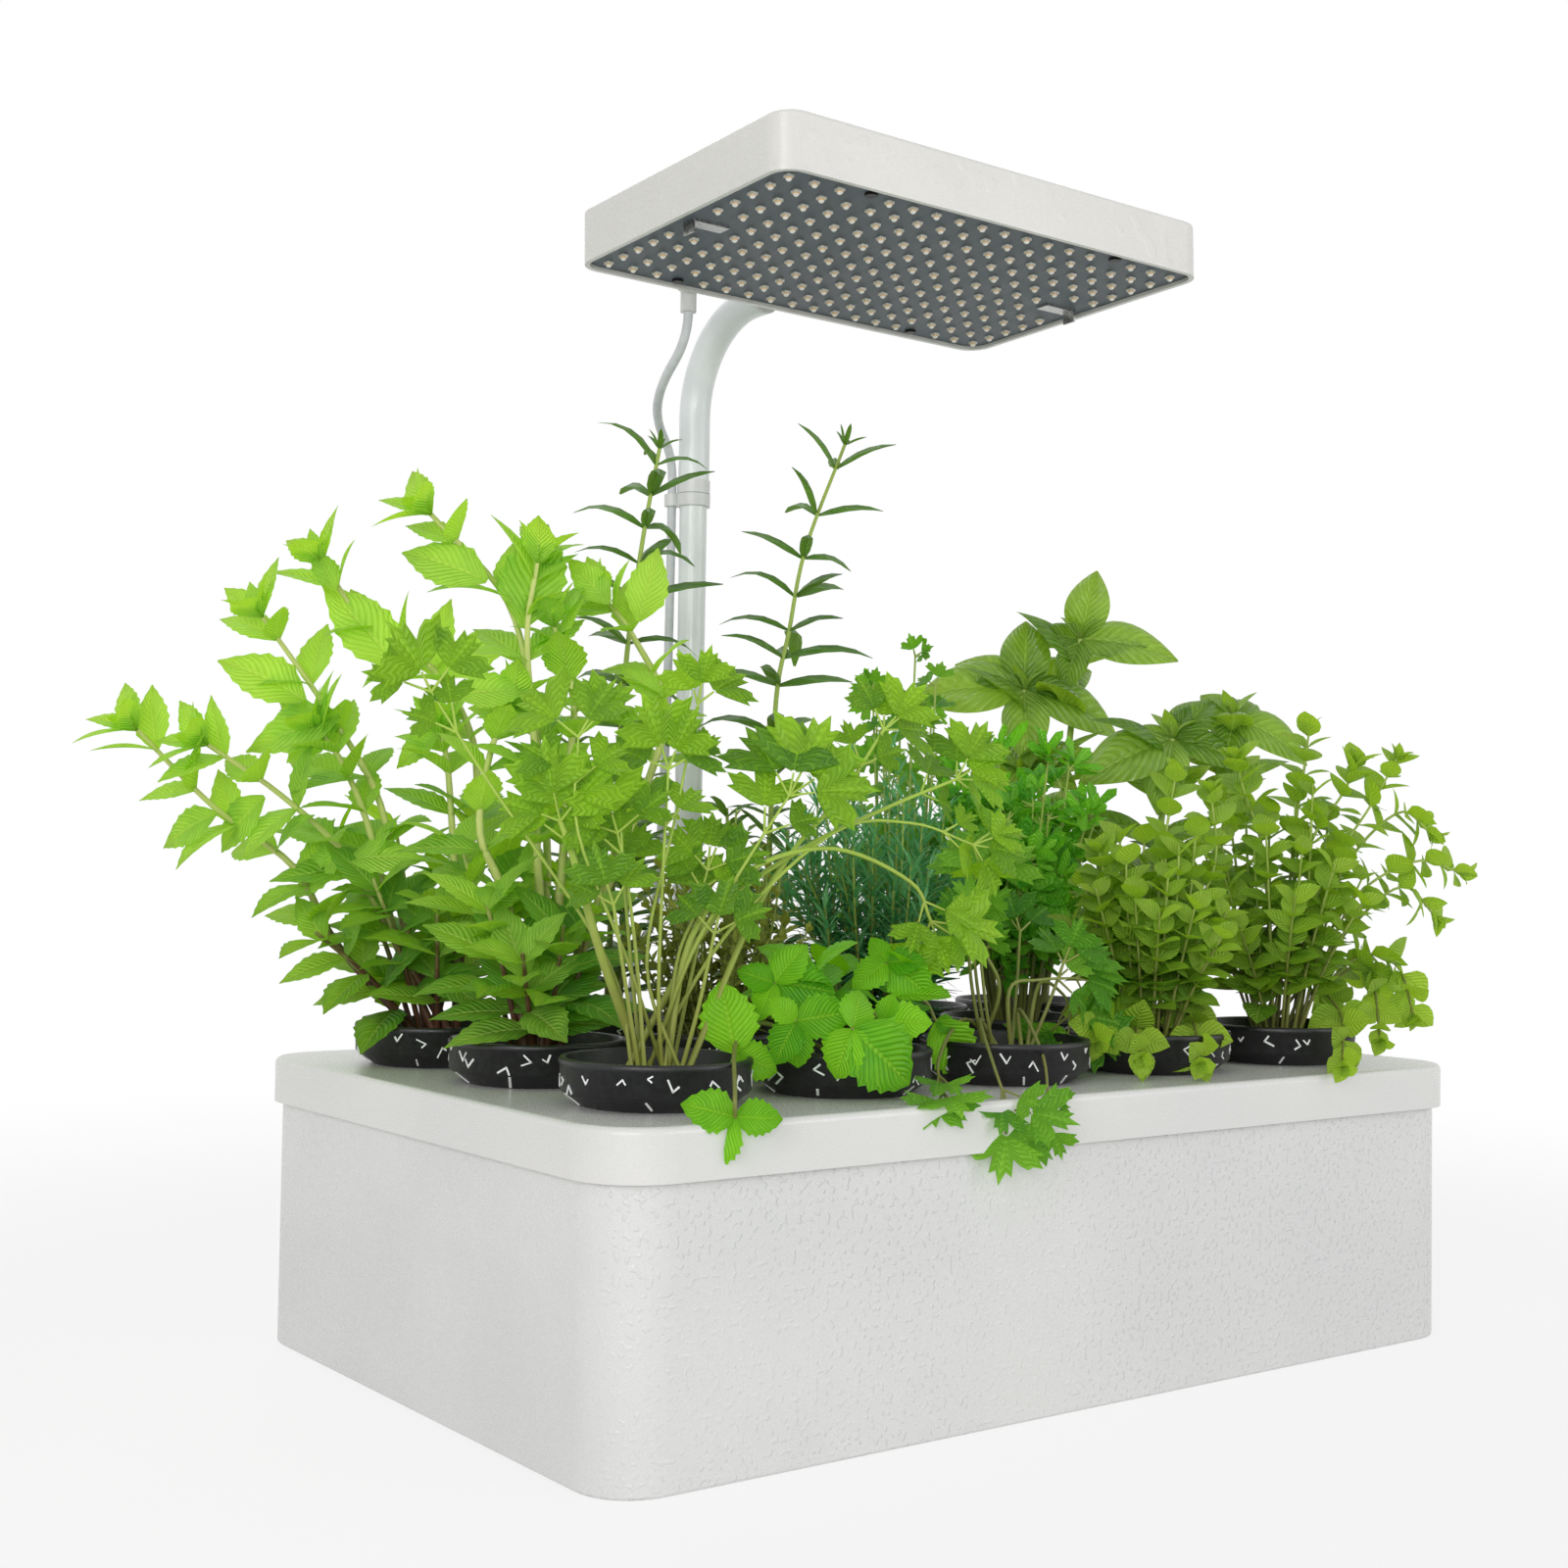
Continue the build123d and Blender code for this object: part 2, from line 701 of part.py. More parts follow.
def cable_run(points):
    """A round cable along straight runs and tangent arcs."""
    radii = route_radii(points)
    print("cable radii", [round(radius, 1) for radius in radii])
    with BuildPart() as run:
        with BuildLine() as route:
            FilletPolyline(*points, radius=radii)
        with BuildSketch(Plane(points[0], z_dir=points[1] - points[0])):
            RegularPolygon(cable_radius, cable_sides)
        sweep()
    length = sum(edge.length for edge in route.edges())
    section = cable_sides / 2 * cable_radius**2 * sin(2 * pi / cable_sides)
    print("cable length", round(length, 1), "volume", round(run.part.volume), round(section * length))
    return run


save("cable_upper", cable_run(upper_route))
save("cable_lower", cable_run(lower_route))

# Clips that hold the cable to the pole
with BuildPart() as cable_clips:
    for base in (collar_base - clip_height - cable_gap, lid_top + clip_rise):
        with BuildSketch(Plane((0, 0, base))):
            with Locations((pole_x, pole_y)):
                Circle(pole_radius + socket_fit + clip_band)
            with Locations((cable_x, cable_y)):
                Circle(cable_radius + socket_fit + clip_band)
            with Locations((pole_x, pole_y)):
                Circle(pole_radius + socket_fit, mode=Mode.SUBTRACT)
            with Locations((cable_x, cable_y)):
                Circle(cable_radius + socket_fit, mode=Mode.SUBTRACT)
        extrude(amount=clip_height)
save("cable_clips", cable_clips)

# Grommet in the lid for the cable
with BuildPart() as lid_grommet:
    with BuildSketch(Plane((grommet_x, grommet_y, tank_height))):
        Circle(grommet_radius - socket_fit)
        Circle(cable_radius + socket_fit, mode=Mode.SUBTRACT)
    extrude(amount=lid_plate)
    with BuildSketch(Plane((grommet_x, grommet_y, lid_top))):
        Circle(grommet_flange_radius)
        Circle(cable_radius + socket_fit, mode=Mode.SUBTRACT)
    extrude(amount=grommet_flange)
save("lid_grommet", lid_grommet)

# Screws of the pole socket
with BuildPart() as pole_socket_screws:
    with BuildSketch(pole_foot.offset(socket_flange)):
        with PolarLocations(socket_screw_circle, socket_screws):
            RegularPolygon(socket_screw_head_radius, screw_sides)
    extrude(amount=socket_screw_head)
    with BuildSketch(pole_foot.offset(socket_flange)):
        with PolarLocations(socket_screw_circle, socket_screws):
            RegularPolygon(socket_screw_radius, screw_sides)
    extrude(amount=-socket_flange - lid_plate)
save("pole_socket_screws", pole_socket_screws)

# Driver box under the lid
with BuildPart() as driver_box:
    with BuildSketch(Plane((driver_x, driver_y, tank_height))):
        RectangleRounded(driver_length, driver_width, driver_round)
    extrude(amount=-driver_height)
    chamfer(driver_box.faces().sort_by(Axis.Z)[0].edges(), driver_round / 2)
save("driver_box", driver_box)

# Round socket for the outside power supply
with BuildPart() as power_inlet:
    with BuildSketch(Plane((driver_x, inlet_y, tank_height))):
        Circle(inlet_radius - socket_fit)
    extrude(amount=lid_plate)
    with BuildSketch(Plane((driver_x, inlet_y, lid_top))):
        Circle(inlet_flange_radius)
    extrude(amount=inlet_flange)
    with BuildSketch(Plane((driver_x, inlet_y, lid_top + inlet_flange))):
        Circle(inlet_bore)
    extrude(amount=-inlet_depth, mode=Mode.SUBTRACT)
save("power_inlet", power_inlet)

# Circulating pump on the tank's floor
pump_foot = Plane((pump_x, pump_y, tank_floor))
with BuildPart() as pump_body:
    with BuildSketch(pump_foot):
        RectangleRounded(pump_length, pump_width, pump_round)
    extrude(amount=pump_height)
    chamfer(pump_body.faces().sort_by(Axis.Z)[-1].edges(), pump_round / 2)
save("pump_body", pump_body)

guard_face = Plane(
    (pump_x - pump_length / 2, pump_y, tank_floor + pump_height / 2),
    x_dir=(0, 1, 0),
    z_dir=(-1, 0, 0),
)
guard_height = pump_height - 2 * pump_round
guard_width = pump_width - 2 * pump_round
with BuildPart() as pump_guard:
    with BuildSketch(guard_face):
        RectangleRounded(guard_width, guard_height, guard_wall)
    extrude(amount=guard_depth)
    with BuildSketch(guard_face):
        RectangleRounded(guard_width - 2 * guard_wall, guard_height - 2 * guard_wall, guard_wall / 2)
    extrude(amount=guard_depth - guard_wall, mode=Mode.SUBTRACT)
    with BuildSketch(guard_face.offset(guard_depth - guard_wall)):
        with GridLocations((guard_width - 2 * guard_wall) / guard_slots, 1, guard_slots, 1):
            Rectangle(guard_slot_width, guard_height - 3 * guard_wall)
    extrude(amount=guard_wall, mode=Mode.SUBTRACT)
save("pump_guard", pump_guard)

with BuildPart() as pump_outlet:
    with BuildSketch(Plane((pump_x + nozzle_setback, pump_y, tank_floor + pump_height))):
        Circle(nozzle_radius)
        Circle(nozzle_bore, mode=Mode.SUBTRACT)
    extrude(amount=nozzle_height)
save("pump_outlet", pump_outlet)
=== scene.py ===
"""Looks of the propagation station: plastics, lamp details, net cups and the growing herbs."""

import json
import random
from dataclasses import dataclass
from math import cos, pi, radians, sin, tau

import bmesh
import bpy
from bmesh.types import BMEdge, BMVert
from mathutils import Matrix, Vector


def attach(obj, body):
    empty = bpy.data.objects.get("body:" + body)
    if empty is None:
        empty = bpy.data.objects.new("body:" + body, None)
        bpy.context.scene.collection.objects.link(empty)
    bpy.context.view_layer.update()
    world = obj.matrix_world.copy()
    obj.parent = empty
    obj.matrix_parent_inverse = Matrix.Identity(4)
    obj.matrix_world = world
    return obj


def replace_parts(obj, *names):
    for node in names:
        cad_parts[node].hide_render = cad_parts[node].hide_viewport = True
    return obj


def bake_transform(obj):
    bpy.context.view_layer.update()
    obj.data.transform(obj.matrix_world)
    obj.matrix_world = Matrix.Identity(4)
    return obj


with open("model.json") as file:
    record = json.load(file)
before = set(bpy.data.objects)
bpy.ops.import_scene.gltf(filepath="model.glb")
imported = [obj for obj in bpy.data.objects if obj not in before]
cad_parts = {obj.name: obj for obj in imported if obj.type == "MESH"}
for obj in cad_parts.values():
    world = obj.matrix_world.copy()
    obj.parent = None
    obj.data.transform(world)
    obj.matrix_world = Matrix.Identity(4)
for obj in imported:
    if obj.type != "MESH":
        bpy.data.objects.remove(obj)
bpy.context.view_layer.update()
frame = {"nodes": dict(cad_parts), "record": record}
nodes = frame["nodes"]
bodies = frame["record"]["behaviour"]["bodies"]
scene = bpy.context.scene
MM = 0.001

# Camera: the photograph's viewpoint, solved from the lid's and tank's edges
PHOTO = 1600
FOCAL = 2072.63
SENSOR = 36
EYE = Vector((-0.5700, -0.69795, 0.2083))
YAW, PITCH, ROLL = radians(36.637), radians(2.0945), radians(0.864)
look = Vector((sin(YAW) * cos(PITCH), cos(YAW) * cos(PITCH), sin(PITCH)))
level = Vector((cos(YAW), -sin(YAW), 0))
rise = level.cross(look)
across = level * cos(ROLL) + rise * sin(ROLL)
upward = rise * cos(ROLL) - level * sin(ROLL)

camera = bpy.data.objects.new("camera", bpy.data.cameras.new("camera"))
camera.data.sensor_width = SENSOR
camera.data.lens = FOCAL / PHOTO * SENSOR
camera.data.clip_start = 0.01
camera.matrix_world = Matrix.Translation(EYE) @ Matrix((across, upward, -look)).transposed().to_4x4()
scene.collection.objects.link(camera)
scene.camera = camera

# Sizes and places that the solids have, in millimetres
CUP_PITCH, CUP_MIDDLE = 83.8, Vector((-6.0, -7.6))
LID_TOP, LID_PLATE = 120.5, 3.5
CUP_RADIUS, CUP_FOOT, CUP_HEIGHT, CUP_SHOULDER, CUP_WALL = 34.0, 27.0, 17.0, 5.5, 1.8
BASKET, BASKET_TOE, BASKET_DEPTH = 23.5, 19.0, 36.0
PLUG_TOP = 11.0
LAMP_SIZE, LAMP_TILT = Vector((230.0, 150.0, 23.5)), radians(1.7)
HINGE, HINGE_STAND = Vector((-14.0, 61.5, 472.2)), 10.0
BOARD_INSET, LED_HEIGHT = 1.5, 1.0
LED_COLUMNS, LED_ROWS, LED_PITCH = 18, 12, Vector((12.3, 11.7))
SCREW_AT, SCREW_CLEAR = Vector((67.0, 67.5)), 5.3
CLIP_AT, CLIP_CLEAR_X, CLIP_CLEAR_Y = 98.0, 11.7, 6.2
POLE, COLLAR_TOP = Vector((-14.0, 128.0)), 393.2
ARM_SLEEVE, ARM_BEND, ARM_STRAIGHT, ARM_RADIUS = 31.0, 48.0, 8.0, 7.6
CABLE, CABLE_RADIUS = Vector((-22.466, 134.379)), 2.2
GLAND, GLAND_DROP = Vector((-52.0, 81.0, 8.75)), 15.8
GROMMET = Vector((-44, 131))


def srgb(*values):
    """A colour as picked on a screen, 0 to 255, as the linear colour that a shader takes."""
    linear = [(v / 255 / 12.92) if v <= 10 else ((v / 255 + 0.055) / 1.055) ** 2.4 for v in values]
    return (*linear, 1.0)


class Val:
    """One value in a finish's nodes; arithmetic on it adds Math nodes."""

    def __init__(self, finish, socket):
        self.finish = finish
        self.socket = socket

    def maths(self, operation, *values):
        return self.finish.node("ShaderNodeMath", {"operation": operation}, dict(enumerate(values)))

    def __add__(self, other):
        return self.maths("ADD", self, other)

    def __mul__(self, other):
        return self.maths("MULTIPLY", self, other)

    def __sub__(self, other):
        return self.maths("SUBTRACT", self, other)

    def __pow__(self, other):
        return self.maths("POWER", self, other)

    def __abs__(self):
        return self.maths("ABSOLUTE", self)

    def sine(self):
        return self.maths("SINE", self)

    def at_least(self, other):
        return self.maths("MAXIMUM", self, other)


class Finish:
    """A material with one Principled shader."""

    def __init__(self, name, **constants):
        self.material = bpy.data.materials.new(name)
        self.material.use_nodes = True
        self.nodes = self.material.node_tree.nodes
        self.links = self.material.node_tree.links
        self.shader = self.nodes["Principled BSDF"]
        for socket, value in constants.items():
            self.shader.inputs[socket.replace("_", " ")].default_value = value

    def node(self, kind, settings=None, inputs=None, output=0):
        made = self.nodes.new(kind)
        for key, value in (settings or {}).items():
            setattr(made, key, value)
        for key, value in (inputs or {}).items():
            if isinstance(value, Val):
                self.links.new(value.socket, made.inputs[key])
            else:
                made.inputs[key].default_value = value
        return Val(self, made.outputs[output])

    def feed(self, **values):
        for socket, value in values.items():
            self.links.new(value.socket, self.shader.inputs[socket.replace("_", " ")])

    def place(self):
        return self.node("ShaderNodeTexCoord", output="Object")

    def along(self, axis):
        return self.node("ShaderNodeSeparateXYZ", inputs={0: self.place()}, output=axis)

    def noise(self, scale, detail=2.0, rough=0.5):
        inputs = {"Vector": self.place(), "Scale": scale, "Detail": detail, "Roughness": rough}
        return self.node("ShaderNodeTexNoise", inputs=inputs)

    def between(self, value, low, high, to_low=0.0, to_high=1.0):
        """A value's run from low to high, eased, as a run from to_low to to_high."""
        inputs = {0: value, 1: low, 2: high, 3: to_low, 4: to_high}
        return self.node("ShaderNodeMapRange", {"clamp": True, "interpolation_type": "SMOOTHSTEP"}, inputs)

    def mix(self, share, first, second):
        inputs = {0: share, 6: first, 7: second}
        return self.node("ShaderNodeMix", {"data_type": "RGBA"}, inputs, output=2)

    def relief(self, height, strength, distance):
        inputs = {"Strength": strength, "Distance": distance, "Height": height}
        return self.node("ShaderNodeBump", inputs=inputs)

    def blend_with(self, share, kind, **constants):
        """Mixes a share of another shader into the surface."""
        parts = {0: share, 1: Val(self, self.shader.outputs[0]), 2: self.node(kind, inputs=constants)}
        surface = self.node("ShaderNodeMixShader", inputs=parts)
        self.links.new(surface.socket, self.nodes["Material Output"].inputs["Surface"])


# Finishes of the hard pieces
LEFT_FACE = min(corner[0] for corner in nodes["tank"].bound_box)
CORNER_START, CORNER_END = 0.0005, 0.005


def moulded_white(name, colour, shade, peel, peel_size, roughness, left_peel=1.0):
    """White moulded plastic: faint cloudiness, a fine skin and orange peel, weaker on the left face."""
    skin = Finish(name, Specular_IOR_Level=0.5)
    cloud = skin.noise(9.0, detail=3.0)
    skin.feed(Base_Color=skin.mix(skin.between(cloud, 0.35, 0.7), srgb(*colour), srgb(*shade)))
    fine = skin.noise(1600.0)
    skin.feed(Roughness=skin.between(fine, 0.2, 0.8, roughness - 0.04, roughness + 0.06))
    blobs = skin.between(skin.noise(peel_size, detail=0.0), 0.58, 0.74)
    patches = skin.between(skin.noise(7.0, detail=1.0), 0.30, 0.60, 0.35, 1.0)
    from_left = skin.along("X")
    sided = skin.between(from_left, LEFT_FACE + CORNER_START, LEFT_FACE + CORNER_END, left_peel, 1.0)
    height = blobs * patches * sided * peel + fine * 0.04
    skin.feed(Normal=skin.relief(height, 0.5, 0.0010))
    return skin.material


def painted_tube():
    """White paint on the tube, with a faint wave."""
    paint = Finish("tube_paint", Coat_Weight=0.3, Coat_Roughness=0.12)
    drift = paint.noise(40.0)
    tone = paint.between(drift, 0.3, 0.7)
    paint.feed(Base_Color=paint.mix(tone, srgb(236, 240, 239), srgb(228, 233, 233)))
    paint.feed(Roughness=paint.between(drift, 0.2, 0.8, 0.26, 0.36))
    paint.feed(Normal=paint.relief(paint.noise(900.0), 0.05, 0.0003))
    return paint.material


def speckled(name, dark, light, scale, smooth, rough, metal=0.0, bump=0.1):
    """A colour that drifts between two tones, with roughness and a fine grain that follow it."""
    skin = Finish(name, Metallic=metal)
    grain = skin.noise(scale, detail=3.0)
    skin.feed(Base_Color=skin.mix(skin.between(grain, 0.3, 0.7), srgb(*dark), srgb(*light)))
    skin.feed(Roughness=skin.between(grain, 0.25, 0.75, smooth, rough))
    skin.feed(Normal=skin.relief(grain, bump, 0.0004))
    return skin.material


def circuit_board():
    """Dark slate solder mask with copper runs faintly showing between the rows of lamps."""
    mask = Finish("circuit_board", Specular_IOR_Level=0.16)
    spot = mask.along("X")
    runs = abs((spot * (tau / (LED_PITCH.x * MM))).sine())
    cloud = mask.noise(60.0, detail=3.0)
    base = mask.mix(mask.between(cloud, 0.3, 0.7), srgb(76, 84, 93), srgb(94, 103, 112))
    mask.feed(Base_Color=mask.mix(mask.between(runs, 0.0, 0.16, 0.5, 0.0), base, srgb(104, 112, 118)))
    mask.feed(Roughness=mask.between(cloud, 0.3, 0.7, 0.36, 0.48))
    mask.feed(Normal=mask.relief(runs, 0.06, 0.0002))
    return mask.material


tank_white = moulded_white("tank_white", (220, 220, 218), (213, 214, 213), 0.7, 480.0, 0.27, left_peel=0.3)
lid_white = moulded_white("lid_white", (222, 221, 218), (216, 216, 214), 0.12, 120.0, 0.28)
lamp_white = moulded_white("lamp_white", (219, 218, 213), (213, 212, 208), 0.15, 140.0, 0.25)
trim_white = moulded_white("trim_white", (226, 227, 225), (219, 220, 219), 0.05, 300.0, 0.32)
tube_paint = painted_tube()
board_mask = circuit_board()
led_case = speckled("led_case", (226, 222, 206), (240, 238, 230), 900.0, 0.3, 0.45)
blackened = speckled("blackened_screw", (22, 22, 22), (48, 46, 44), 1500.0, 0.35, 0.5, metal=0.6)
bright_steel = speckled("bright_steel", (150, 150, 148), (196, 196, 194), 700.0, 0.22, 0.4, metal=1.0)
cable_sheath = speckled("cable_sheath", (204, 207, 209), (216, 219, 221), 260.0, 0.42, 0.55)
grey_rubber = speckled("grey_rubber", (112, 112, 112), (134, 134, 133), 700.0, 0.55, 0.7)
black_shell = speckled("black_shell", (14, 14, 15), (26, 26, 27), 1100.0, 0.4, 0.55)
cup_black = speckled("cup_black", (9, 9, 11), (22, 23, 26), 420.0, 0.32, 0.5, bump=0.2)
# White strips along the cups' slits: painted light on the black cup
slit_painted_light = speckled("slit_painted_light", (222, 224, 226), (250, 250, 250), 300.0, 0.5, 0.65)

finish_of = {
    "tank": tank_white,
    "lid": lid_white,
    "lamp_housing": lamp_white,
    "lower_pole": tube_paint,
    "upper_arm": tube_paint,
    "led_board": board_mask,
    "led_chips": led_case,
    "board_screws": blackened,
    "board_clips": bright_steel,
    "tilt_pin": bright_steel,
    "pole_socket_screws": bright_steel,
    "cable_upper": cable_sheath,
    "cable_lower": cable_sheath,
    "lid_grommet": grey_rubber,
    "driver_box": black_shell,
    "power_inlet": black_shell,
    "pump_body": black_shell,
    "pump_guard": black_shell,
    "pump_outlet": black_shell,
}
for name, node in nodes.items():
    node.data.materials.clear()
    node.data.materials.append(cup_black if name.startswith("net_cup") else finish_of.get(name, trim_white))


def mesh_object(name, bm, *materials):
    """A finished mesh as an object of the scene."""
    mesh = bpy.data.meshes.new(name)
    bm.to_mesh(mesh)
    bm.free()
    for material in materials:
        mesh.materials.append(material)
    made = bpy.data.objects.new(name, mesh)
    scene.collection.objects.link(made)
    return made


def piece(name, bm, body, materials, slot):
    """A finished mesh as an object that rides on a body."""
    made = mesh_object(name, bm, *materials)
    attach(made, body)
    return made


def only(kind, geometry):
    """The parts of one kind in what an operator gives."""
    return [part for part in geometry if isinstance(part, kind)]


SAME_PLACE = 1e-6


def turned(bm, profile, steps, centre, material=0):
    """A closed shape turned round an upright axis from (radius, height) points in millimetres."""
    others = set(bm.verts)
    points = [bm.verts.new((centre.x + r * MM, centre.y, centre.z + z * MM)) for r, z in profile]
    edges = [bm.edges.new(pair) for pair in zip(points, points[1:])]
    bmesh.ops.spin(
        bm, geom=points + edges, cent=centre, axis=(0, 0, 1), angle=tau, steps=steps, use_merge=True
    )
    linked = [vert for vert in bm.verts if vert not in others]
    bmesh.ops.remove_doubles(bm, verts=linked, dist=SAME_PLACE)
    for face in {face for vert in linked if vert.is_valid for face in vert.link_faces}:
        face.material_index = material
        face.smooth = True


def seat(row, column):
    """The lid's surface in the middle of one net cup, in metres."""
    x = CUP_MIDDLE.x + (column - 3) * CUP_PITCH
    y = CUP_MIDDLE.y + (row - 2) * CUP_PITCH
    return Vector((x, y, LID_TOP)) * MM


# Net cups: the slits, drawn as raised white strips of painted light, lie at random, within these ranges in
# millimetres and radians
FOOT_CLEAR = 0.06
CHEVRONS, STREAKS = 21, 7
CHEVRON_HEIGHT, CHEVRON_OPENING = (7.4, 13.0), (0.5, 0.8)
CHEVRON_ARM, CHEVRON_WIDTH = (2.0, 5.0), (0.45, 0.8)
STREAK_LENGTH, STREAK_WIDTH, STREAK_SLOPE = (4.0, 7.5), (0.6, 1.2), 0.9
SLIT_RELIEF = 0.4
CUP_SIDES, PLUG_SIDES = 48, 28


def slit(bm, place, length, width):
    """A thin raised white strip of painted light along a slit in a cup's wall, its sizes in millimetres."""
    size = Matrix.Diagonal((SLIT_RELIEF * MM, length * MM, width * MM, 1))
    bar = bmesh.ops.create_cube(bm, size=1.0, matrix=place @ size)["verts"]
    for face in {face for vert in bar for face in vert.link_faces}:
        face.material_index = 1


def net_cup(row, column, rng):
    """Net cup with a rounded rim and chevron slits round its wall, drawn as white strips of painted light.
    """
    bm = bmesh.new()
    middle = seat(row, column)
    inner = CUP_RADIUS - CUP_WALL
    profile = (
        (0, -BASKET_DEPTH),
        (BASKET_TOE - 1, -BASKET_DEPTH),
        (BASKET_TOE, -BASKET_DEPTH + 1),
        (BASKET - 0.2, -0.6),
        (BASKET, FOOT_CLEAR),
        (CUP_FOOT - 0.8, FOOT_CLEAR),
        (CUP_FOOT, 0.5),
        (CUP_RADIUS - 0.8, CUP_SHOULDER - 0.6),
        (CUP_RADIUS, CUP_SHOULDER + 0.4),
        (CUP_RADIUS, CUP_HEIGHT - 2.6),
        (CUP_RADIUS + 0.5, CUP_HEIGHT - 2.2),
        (CUP_RADIUS + 0.5, CUP_HEIGHT - 0.7),
        (CUP_RADIUS - 0.1, CUP_HEIGHT),
        (inner + 0.4, CUP_HEIGHT),
        (inner, CUP_HEIGHT - 0.6),
        (inner, CUP_SHOULDER + 1.2),
        (BASKET - CUP_WALL, CUP_WALL),
        (BASKET_TOE - CUP_WALL, CUP_WALL - BASKET_DEPTH),
        (0, CUP_WALL - BASKET_DEPTH),
    )
    turned(bm, profile, CUP_SIDES, middle)
    wall = Matrix.Translation(middle)
    for spoke in range(CHEVRONS):
        turn = wall @ Matrix.Rotation(tau * (spoke + rng.uniform(0.1, 0.9)) / CHEVRONS, 4, "Z")
        opening = rng.choice((0, pi / 2, pi, -pi / 2)) + rng.uniform(-0.3, 0.3)
        height = rng.uniform(*CHEVRON_HEIGHT)
        for arm in (-1, 1):
            lean = opening + arm * rng.uniform(*CHEVRON_OPENING)
            length = rng.uniform(*CHEVRON_ARM)
            aside, up = cos(lean) * length * 0.45, sin(lean) * length * 0.45
            spot = Matrix.Translation(Vector((CUP_RADIUS, aside, height + up)) * MM)
            slit(bm, turn @ spot @ Matrix.Rotation(lean, 4, "X"), length, rng.uniform(*CHEVRON_WIDTH))
    for spoke in range(STREAKS):
        turn = wall @ Matrix.Rotation(tau * (spoke + rng.uniform(0.1, 0.7)) / STREAKS, 4, "Z")
        spot = Matrix.Translation(Vector(((CUP_RADIUS + CUP_FOOT) / 2, 0, CUP_SHOULDER / 2)) * MM)
        slant = Matrix.Rotation(pi / 2 + rng.uniform(-0.4, 0.4), 4, "X")
        slope = Matrix.Rotation(STREAK_SLOPE, 4, "Y") @ slant
        slit(bm, turn @ spot @ slope, rng.uniform(*STREAK_LENGTH), rng.uniform(*STREAK_WIDTH))
    bmesh.ops.recalc_face_normals(bm, faces=bm.faces)
    cup = f"cup_{row}_{column}"
    made = piece(f"{cup}_shell", bm, cup, (cup_black, slit_painted_light), "cup_black")
    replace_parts(made, f"net_cup_{row}_{column}")


for row in (1, 2, 3):
    for column in (1, 2, 3, 4, 5):
        net_cup(row, column, random.Random(10 * row + column))

# Lamps on the board: a domed lens over each case
LENS_RADIUS, LENS_DEPTH, LENS_RAISE = 1.5, 1.7, 0.2
LENS_SIDES, LENS_RINGS, LENS_CUT = 8, 6, 0.1

lamp_frame = (
    Matrix.Translation(HINGE * MM)
    @ Matrix.Rotation(-LAMP_TILT, 4, "X")
    @ Matrix.Translation(Vector((0, -LAMP_SIZE.y / 2 - HINGE_STAND, -LAMP_SIZE.z / 2)) * MM)
)


def led_spots():
    """Places of the lamps on the board, in its own plane, clear of the screws and clips."""
    for i in range(LED_COLUMNS):
        for j in range(LED_ROWS):
            x = (i - (LED_COLUMNS - 1) / 2) * LED_PITCH.x
            y = (j - (LED_ROWS - 1) / 2) * LED_PITCH.y
            from_screw = (Vector((abs(x), abs(y))) - SCREW_AT).length
            on_clip = abs(abs(x) - CLIP_AT) < CLIP_CLEAR_X and abs(y) < CLIP_CLEAR_Y
            if from_screw > SCREW_CLEAR and not on_clip:
                yield x, y


def lamp_lenses():
    """Clear domes, amber at the rim and pale at the crown."""
    lens = Finish("led_lens", Specular_IOR_Level=0.6, Coat_Weight=0.5, Coat_Roughness=0.1)
    local = lens.node("ShaderNodeAttribute", {"attribute_name": "depth"}, output="Fac")
    grain = lens.noise(500.0)
    share = lens.between(local + grain * 0.3, 0.25, 0.85)
    lens.feed(Base_Color=lens.mix(share, srgb(232, 176, 70), srgb(246, 244, 238)))
    lens.feed(Roughness=lens.between(grain, 0.3, 0.7, 0.2, 0.3))
    bm = bmesh.new()
    depth = bm.verts.layers.float.new("depth")
    size = Matrix.Diagonal((LENS_RADIUS * MM, LENS_RADIUS * MM, LENS_DEPTH * MM, 1))
    for x, y in led_spots():
        dome = bmesh.ops.create_uvsphere(
            bm, u_segments=LENS_SIDES, v_segments=LENS_RINGS, radius=1.0
        )["verts"]
        for vert in dome:
            vert[depth] = max(0.0, -vert.co.z)
        bmesh.ops.delete(bm, geom=[vert for vert in dome if vert.co.z > LENS_CUT], context="VERTS")
        dome = [vert for vert in dome if vert.is_valid]
        low = Vector((x, y, BOARD_INSET - LED_HEIGHT + LENS_RAISE)) * MM
        bmesh.ops.transform(bm, matrix=lamp_frame @ Matrix.Translation(low) @ size, verts=dome)
    for face in bm.faces:
        face.smooth = True
    piece("led_lenses", bm, "lamp", (lens.material,), "led")


lamp_lenses()

# Arm and cable as smooth round runs
ARM_SIDES, ARM_STEPS = 40, 28
CABLE_LEAD = 12
COLLAR_BOW, GLAND_BOW = Vector((-20, -15, 25)), Vector((1, 24, -29))
CABLE_LEAVES_POLE, CABLE_OVER_GROMMET = 62, 40


def drawn_out(bm, edges, travel):
    """Edges drawn out along a travel in millimetres; gives the edges at the far end."""
    made = bmesh.ops.extrude_edge_only(bm, edges=edges)["geom"]
    bmesh.ops.translate(bm, vec=Vector(travel) * MM, verts=only(BMVert, made))
    return only(BMEdge, made)


